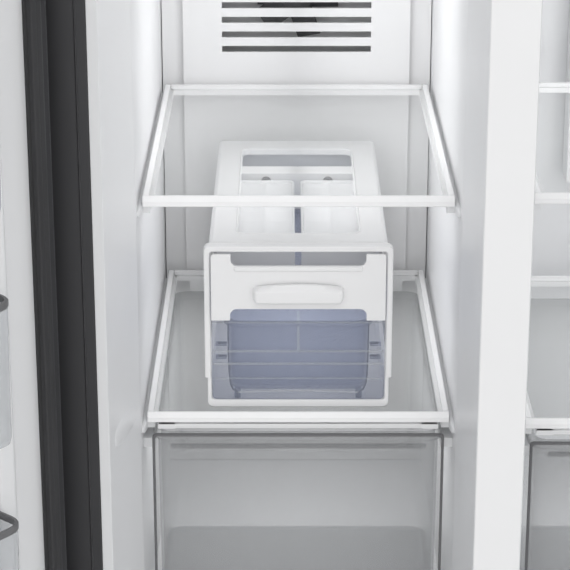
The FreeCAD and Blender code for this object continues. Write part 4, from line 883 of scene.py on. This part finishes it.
class Door:
    """One door in its shut place, and the turn that opens it."""

    def __init__(self, name, sign, edges, dyke, seal):
        self.name = name
        self.sign = sign
        self.edges = edges
        self.dyke = dyke
        self.seal = seal
        pivot = Vector((sign * PIVOT[0] * MM, PIVOT[1] * MM, 0))
        turn = Matrix.Rotation(sign * OPEN, 4, "Z")
        self.place = Matrix.Translation(pivot) @ turn @ Matrix.Translation(-pivot)

    def make(self, form, name, look, stands_for=(), sharp=32, body=None):
        """A finished piece of this door, turned open with it."""
        return form.make(f"{self.name}_{name}", look, body or self.name, stands_for, self.place, sharp)


DOORS = (
    Door("freezer_door", -1, (-456.0, -19.9), (-373.0, -46.4), (-441.0, -21.9)),
    Door("fridge_door", 1, (-11.9, 456.0), (14.6, 373.0), (-9.9, 441.0)),
)
DOOR_Z = (80.0, 1742.0)
DYKE_Z = (126.0, 1682.0)
SEAL_Z = (86.0, 1726.0)
BACK = -13.0
BEHIND_DYKE = 27.6  # from the outside of the dyke to the sides of the bins


def door_liner(door):
    """The moulded inner panel, from its flat rim over the dyke into the recess."""
    edge = (door.edges[0] + 1.3, door.edges[1] - 1.3)
    tall = (DOOR_Z[0] + 1.3, DOOR_Z[1] - 1.3)

    def near(amount, radius):
        return shrunk(door.dyke, DYKE_Z, amount, radius, 6)

    def rim(amount):
        return shrunk(edge, tall, amount, 2.0, 6)

    sections = [
        (near(40, 10), BACK - 19.3),
        (near(25, 12), BACK - 19.3),
        (near(24.6, 12), BACK - 2.6),
        (rim(0), BACK - 2.4),
        (rim(0), BACK - 0.4),
        (rim(0.5), BACK),
        (near(-3, 30), BACK),
        (near(-1.0, 29), BACK + 0.5),
        (near(0, 28), BACK + 2.4),
        (near(1.2, 27), BACK + 18),
        (near(2.0, 26), BACK + 27),
        (near(3.4, 25), BACK + 31.5),
        (near(6.4, 23), BACK + 33.7),
        (near(9.5, 20), BACK + 34),
        (near(20.5, 15), BACK + 34),
        (near(24.0, 13), BACK + 33),
        (near(26.2, 12), BACK + 30),
        (near(27.0, 12), BACK + 25),
        (near(27.4, 12), BACK - 12),
        (near(29.0, 11), BACK - 15.5),
        (near(33.0, 9), BACK - 17),
        (near(40, 8), BACK - 17),
    ]
    door.make(Form().loft("y", sections), "inner_panel", "white_liner", [f"{door.name}_liner"], sharp=40)


def door_gasket(door):
    """The magnetic seal: a fixed foot, a folded bellows and the flat magnet pocket."""
    outside = ((0.3, 0.0), (0.0, 2.4), (1.6, 3.4), (2.2, 4.4), (1.2, 5.4), (0.0, 6.2), (0.0, 9.6))
    pocket = ((0.8, 10.6), (2.2, 11.0), (5.8, 11.0), (6.5, 10.5), (7.2, 11.0), (10.8, 11.0), (12.2, 10.6))
    inside = ((13.0, 9.6), (13.0, 6.2), (11.8, 5.4), (10.8, 4.4), (11.4, 3.4), (13.0, 2.4), (12.7, 0.0))
    sections = []
    for inset, height in outside + pocket + inside:
        corner = max(6 - inset * 0.3, 1.5)
        sections.append((shrunk(door.seal, SEAL_Z, inset, corner, 4), BACK + height))
    form = Form().loft("y", sections, loop=True)
    door.make(form, "seal", "gasket_rubber", [f"{door.name}_gasket"], sharp=50)


def door_return(door):
    """The dark steel of the door folded round its back edge, up to the foot of the seal."""
    edge = (door.edges[0] + 1.0, door.edges[1] - 1.0)
    tall = (DOOR_Z[0] + 1.0, DOOR_Z[1] - 1.0)
    sections = [
        (shrunk(edge, tall, 0, 2.5, 4), BACK - 0.3),
        (shrunk(edge, tall, 0.1, 2.5, 4), BACK + 0.2),
        (shrunk(edge, tall, 0.4, 2.5, 4), BACK + 0.45),
        (shrunk(door.seal, SEAL_Z, -0.3, 6, 4), BACK + 0.45),
        (shrunk(door.seal, SEAL_Z, 0.3, 6, 4), BACK - 0.3),
    ]
    door.make(Form().loft("y", sections, loop=True), "steel_return", "dark_steel", sharp=50)


def tub(x, y, amount, back, front):
    """The outline of a door bin, with one radius at the door and another towards the room."""
    return shrunk(x, y, amount, (back, back, front, front))


def bin_rack(door, lows, height, reach, name):
    """Clear door bins: a rounded tub each, with a thick rail along the rim."""
    x = (door.dyke[0] + BEHIND_DYKE, door.dyke[1] - BEHIND_DYKE)
    y = (BACK - 16.4, BACK - 17 + reach)
    form = Form()
    rails = Form()
    for low in lows:
        top = low + height
        form.loft("z", [
            (tub(x, y, 8, 3, 10), low),
            (tub(x, y, 3.2, 3, 12), low + 2.2),
            (tub(x, y, 1.6, 3, 14), low + 8),
            (tub(x, y, 0.4, 3, 16), top - 34),
            (tub(x, y, 0, 3, 16), top - 30),
            (tub(x, y, 0, 3, 16), top - 1.2),
            (tub(x, y, 0.6, 3, 15.5), top),
            (tub(x, y, 2.0, 2, 14.5), top),
            (tub(x, y, 2.5, 2, 14), top - 1.2),
            (tub(x, y, 2.6, 2, 14), top - 30),
            (tub(x, y, 3.4, 2, 13), low + 9),
            (tub(x, y, 5.0, 2, 11), low + 4),
            (tub(x, y, 10, 2, 8), low + 2.6),
        ])
        rails.loft("z", [
            (tub(x, y, -0.3, 3, 16), top - 5.5),
            (tub(x, y, -0.6, 3, 16), top - 4.5),
            (tub(x, y, -0.6, 3, 16), top - 0.6),
            (tub(x, y, 0.2, 3, 16), top + 0.5),
            (tub(x, y, 2.4, 2, 14), top + 0.5),
            (tub(x, y, 3.1, 2, 13), top - 0.6),
            (tub(x, y, 3.1, 2, 13), top - 4.5),
            (tub(x, y, 2.7, 2, 13), top - 5.5),
        ], loop=True)
    door.make(form, name, "clear_bin", [f"{door.name}_bins"], sharp=50)
    door.make(rails, name + "_rails", "grey_plastic", sharp=50)


def dairy_box(door):
    """The dairy tray and the flap over it."""
    x = (door.dyke[0] + BEHIND_DYKE, door.dyke[1] - BEHIND_DYKE)
    y = (BACK - 16.4, BACK + 68)
    low = 1400.0
    form = Form().loft("z", [
        (tub(x, y, 7, 3, 10), low),
        (tub(x, y, 2.4, 3, 12), low + 2.4),
        (tub(x, y, 0.6, 3, 14), low + 10),
        (tub(x, y, 0, 3, 15), low + 58.6),
        (tub(x, y, 0.7, 3, 14), low + 60),
        (tub(x, y, 2.0, 2, 13), low + 60),
        (tub(x, y, 2.5, 2, 13), low + 58.6),
        (tub(x, y, 3.2, 2, 12), low + 10),
        (tub(x, y, 8, 2, 9), low + 3),
    ])
    door.make(form, "dairy_tray", "clear_bin", sharp=50)
    lid_x = (x[0] + 3, x[1] - 3)
    lid = [(4, 1528.4), (52, 1528.4), (60, 1527.2), (66.5, 1523.5), (70.8, 1517), (72.4, 1509)]
    hem = [(72.4, 1462.2), (70, 1462.2)]
    under = [(70, 1508.6), (68.6, 1515.6), (65, 1521.2), (59.4, 1524.6), (52, 1525.8), (4, 1525.8)]
    curve = [(BACK + reach, level) for reach, level in lid + hem + under]
    flap = Form().prism("x", curve, lid_x[0], lid_x[1])
    flap.rod("x", (BACK + 4, 1526.5), 3, x[0] + 0.5, x[1] - 0.5, 20)
    grip = [(BACK + 72.2, 1466), (BACK + 75.4, 1467.2), (BACK + 75.4, 1469), (BACK + 72.2, 1470.5)]
    flap.prism("x", grip, lid_x[0] + 90, lid_x[1] - 90)
    door.make(flap, "dairy_flap", "clear_bin", ["dairy_cover"], body="dairy_cover")


def door_handle(door):
    """A straight steel bar with rounded ends, on two flared posts."""
    free = door.edges[1] if door.sign < 0 else door.edges[0]
    middle = free + door.sign * 45
    face = BACK - 65
    bar_x, bar_y = (middle - 12, middle + 12), (face - 46, face - 30)
    steps = 32
    sections = []
    for n in range(steps + 1):
        share = n / steps
        ease = min(min(share, 1 - share) / 0.012, 1.0)
        pinch = 6 * (1 - math.sqrt(1 - (1 - ease) ** 2))
        outline = shrunk(bar_x, bar_y, min(pinch, 5.5), max(6.5 - pinch, 1.2))
        sections.append((outline, 700 + 800 * share))
    form = Form().loft("z", sections)
    for low in (730, 1440):
        form.loft("y", [
            (rectangle((middle - 8, middle + 8), (low, low + 30), 6), face - 33),
            (rectangle((middle - 8, middle + 8), (low, low + 30), 6), face - 4),
            (rectangle((middle - 10, middle + 10), (low - 2, low + 32), 7), face - 1.2),
            (rectangle((middle - 10.5, middle + 10.5), (low - 2.5, low + 32.5), 7), face),
        ])
    door.make(form, "pull", "handle_steel", [f"{door.name}_handle"], sharp=40)


# ---------------- cabinet details


FREEZER_MIDDLE, FRIDGE_MIDDLE = -204.2, 188.3


def rib_noses():
    """Rounded ends of the moulded ribs on both walls of the freezer."""
    form = Form()
    left, right = -359.0, -49.4
    steps = 8
    for level in (600, 826, 1052, 1278, 1504):
        for wall, sign in ((left, 1), (right, -1)):
            sections = []
            for n in range(steps + 1):
                share = n / steps
                fade = math.sqrt(max(1 - share**2, 0.02))
                half, reach = 6.0 * fade, 4.4 * fade
                near, far = sorted((wall - sign * 0.8, wall + sign * reach))
                corner = min(half, (far - near) / 2) * 0.7
                outline = rectangle((near, far), (level - 15 - half, level - 15 + half), corner, 3)
                sections.append((outline, 112 + 24 * (1 - share)))
            form.loft("y", sections)
    form.make("freezer_rib_noses", "white_liner", "cabinet", sharp=60)


def wall_swell():
    """The low moulded swell across the flared left wall, in front of the lowest freezer shelf."""
    sections = []
    level, steps = 619, 12
    for n in range(17):
        share = n / 8 - 1
        fade = math.sqrt(max(1 - share**2, 0.01))
        y = 60 + 46 * share
        wall = -381 + 22 * y / 112
        half = 14 * math.sqrt(fade)
        hump = []
        for step in range(steps + 1):
            angle = math.pi * (step / steps - 0.5)
            hump.append((wall - 0.4 + 3.4 * fade * math.cos(angle), level + half * math.sin(angle)))
        sections.append(([(wall - 1.6, level - half)] + hump + [(wall - 1.6, level + half)], y))
    Form().loft("y", sections).make("freezer_wall_swell", "white_liner", "cabinet", sharp=70)


def shelf_stop():
    """The box section under the back rail of the lowest freezer shelf."""
    corners = [(-125, 573.5), (125, 573.5), (125, 591), (-125, 591)]
    outline = [(FREEZER_MIDDLE + u, v) for u, v in arc_corners(corners, (8, 8, 1, 1))]
    # In the paler trim look, a painted highlight.
    Form().prism("y", outline, 528.6, 536.5).make("freezer_shelf_stop", "painted_lit_trim", "cabinet")


def head_rails():
    """The white rail under each lowest shelf, over the drawers."""
    rails = Form()
    for middle, half, level in ((FREEZER_MIDDLE, 139.8, 600.0), (FRIDGE_MIDDLE, 155.0, 593.0)):
        rail = rectangle((middle - half, middle + half), (level - 18.2, level - 13.6), 1.0)
        rails.prism("y", rail, 127.5, 133)
        for side in (-1, 1):
            end = middle + side * (half - 9)
            rails.prism("y", rectangle((end - 9, end + 9), (level - 18.4, level - 13.6), 1.2), 126.3, 133)
    rails.make("drawer_head_rails", "white_trim", "cabinet")


def flange_step():
    """The folded step round the dark front flange."""
    wide, tall = (-402.0, 402.0), (106.0, 1702.0)
    profile = ((0, -0.05), (0.3, -0.75), (1.0, -1.0), (1.7, -0.75), (2.0, -0.05))
    sections = [(shrunk(wide, tall, inset, 6, 4), height) for inset, height in profile]
    Form().loft("y", sections, loop=True).make("flange_step", "dark_steel", "cabinet")


ROUNDED_NODES = {
    "outer_case": 1.0,
    "freezer_door_skin": 1.0,
    "fridge_door_skin": 1.0,
    "freezer_liner": 1.5,
    "fridge_liner": 1.5,
    "mullion_cover": 0.7,
    "evaporator_cover": 0.9,
    "fridge_air_duct": 0.9,
    "lamp_covers": 1.2,
    "hinge_covers": 1.0,
    "kick_grille": 0.8,
    "machine_cover": 0.3,
    "base_frame": 0.5,
    "control_box": 0.8,
    "drain_tray": 0.6,
    "top_hinge_brackets": 0.6,
    "bottom_hinge_brackets": 0.6,
    "compressor": 1.5,
}


def carried_over():
    """Better finishes and soft edges for the CAD nodes that stay."""
    for name, item in frame["nodes"].items():
        for index, material in enumerate(item.data.materials):
            look = LOOKS.get(material.name.split(".")[0])
            if look:
                item.data.materials[index] = look
        if name in ROUNDED_NODES:
            weld = item.modifiers.new("closed_seams", "WELD")
            weld.merge_threshold = 0.01 * MM
            soften(item, ROUNDED_NODES[name])


shelves()
ice_housing()
ice_base()
ice_panel()
ice_carrier()
ice_lever()
for hand in ("left", "right"):
    ice_tray(hand)
ice_bucket()
for node in DRAWERS:
    drawer(node, BODY_OF[node])
for door in DOORS:
    door_liner(door)
    door_gasket(door)
    door_return(door)
    door_handle(door)
bin_rack(DOORS[0], (299, 502, 705, 908, 1111, 1314), 130, 85, "clear_bins")
bin_rack(DOORS[1], (210, 480, 750, 1020), 130, 85, "clear_bins")
dairy_box(DOORS[1])
rib_noses()
wall_swell()
shelf_stop()
head_rails()
flange_step()


# ---------------- stage


def stage():
    """A pale floor far larger than the picture, with its top just under the feet."""
    side = (-60000, 60000)
    floor = Form().prism("z", rectangle(side, side, 10), -6, -0.01)
    bmesh.ops.recalc_face_normals(floor.mesh, faces=floor.mesh.faces)
    floor.mesh.transform(Matrix.Scale(MM, 4))
    data = bpy.data.meshes.new("studio_floor")
    floor.mesh.to_mesh(data)
    item = bpy.data.objects.new("studio_floor", data)
    bpy.context.scene.collection.objects.link(item)
    paint = surface("studio_floor", (0.95, 0.95, 0.95), (0.94, 0.94, 0.94), (0.7, 0.8), 60.0, 0.0001)
    data.materials.append(paint)


# Each light: where it is, where it points, its two sides in metres and its power in watts.
STUDIO = (
    ("front", (-0.2, -4.4, 1.5), (-0.2, 0.6, 0.9), (3.0, 3.0), 16),
    ("key", (-0.6, -2.6, 4.0), (-0.2, 0.3, 0.7), (2.0, 2.0), 14),
)
COLD, COOL = FREEZER_MIDDLE * MM, FRIDGE_MIDDLE * MM
INSIDE = (
    ("freezer_left_wall", (COLD, 0.34, 1.18), (-1, 0.34, 1.18), (0.2, 0.8), 0.6),
    ("freezer_right_wall", (COLD, 0.34, 1.18), (1, 0.34, 1.18), (0.2, 0.8), 0.65),
    ("freezer_left_side", (COLD - 0.1, 0.33, 0.70), (-1, 0.33, 0.70), (0.34, 0.17), 0.10),
    ("freezer_right_side", (COLD + 0.1, 0.33, 0.70), (1, 0.33, 0.70), (0.34, 0.17), 0.12),
    ("freezer_back", (COLD, 0.16, 1.24), (COLD, 1.0, 1.22), (0.2, 0.84), 0.22),
    ("freezer_ceiling", (COLD, 0.34, 1.62), (COLD, 0.341, 0), (0.24, 0.3), 0.2),
    ("freezer_drawers", (COLD, 0.32, 0.575), (COLD, 0.321, 0), (0.24, 0.3), 0.85),
    ("ice_bucket_room", (COLD, 0.30, 0.705), (COLD, 0.301, 0), (0.12, 0.26), 0.32),
    ("fridge_left_wall", (COOL, 0.34, 1.1), (-1, 0.34, 1.1), (0.2, 1.0), 0.8),
    ("fridge_right_wall", (COOL, 0.34, 1.1), (1, 0.34, 1.1), (0.2, 1.0), 0.8),
    ("fridge_back", (COOL, 0.16, 1.1), (COOL, 1.0, 1.05), (0.2, 1.0), 0.3),
    ("fridge_drawers", (COOL, 0.32, 0.565), (COOL, 0.321, 0), (0.24, 0.3), 1.0),
)


def area_light(name, place, aim, size, power):
    """A light that shines from one place towards another and is not seen itself."""
    data = bpy.data.lights.new(name, "AREA")
    data.shape = "RECTANGLE"
    data.size, data.size_y = size
    data.energy = power
    item = bpy.data.objects.new(name, data)
    item.location = place
    item.rotation_euler = (Vector(aim) - Vector(place)).to_track_quat("-Z", "Y").to_euler()
    item.visible_camera = False
    bpy.context.scene.collection.objects.link(item)
    return item


def lights():
    """A plain white world, two studio lights, and small ones inside the compartments."""
    world = bpy.data.worlds.new("studio")
    world.use_nodes = True
    sky = world.node_tree.nodes["Background"].inputs
    sky["Color"].default_value = (1, 1, 1, 1)
    sky["Strength"].default_value = 1.0
    bpy.context.scene.world = world
    for lamp in STUDIO:
        area_light(*lamp)
    for lamp in INSIDE:
        area_light(*lamp).visible_glossy = False


LOOKING_DOWN = 18.94  # degrees


def camera():
    """The camera in front of the freezer, above the ice maker."""
    scene = bpy.context.scene
    lens = bpy.data.cameras.new("camera")
    lens.sensor_width = 36
    lens.lens = 132.86
    lens.shift_y = -0.10
    lens.clip_end = 50
    item = bpy.data.objects.new("camera", lens)
    item.location = (-0.2173, -1.7924, 1.4518)
    item.rotation_euler = (math.radians(90 - LOOKING_DOWN), 0, 0)
    scene.collection.objects.link(item)
    scene.camera = item
    scene.view_settings.view_transform = "Standard"


stage()
lights()
camera()
carried_over()
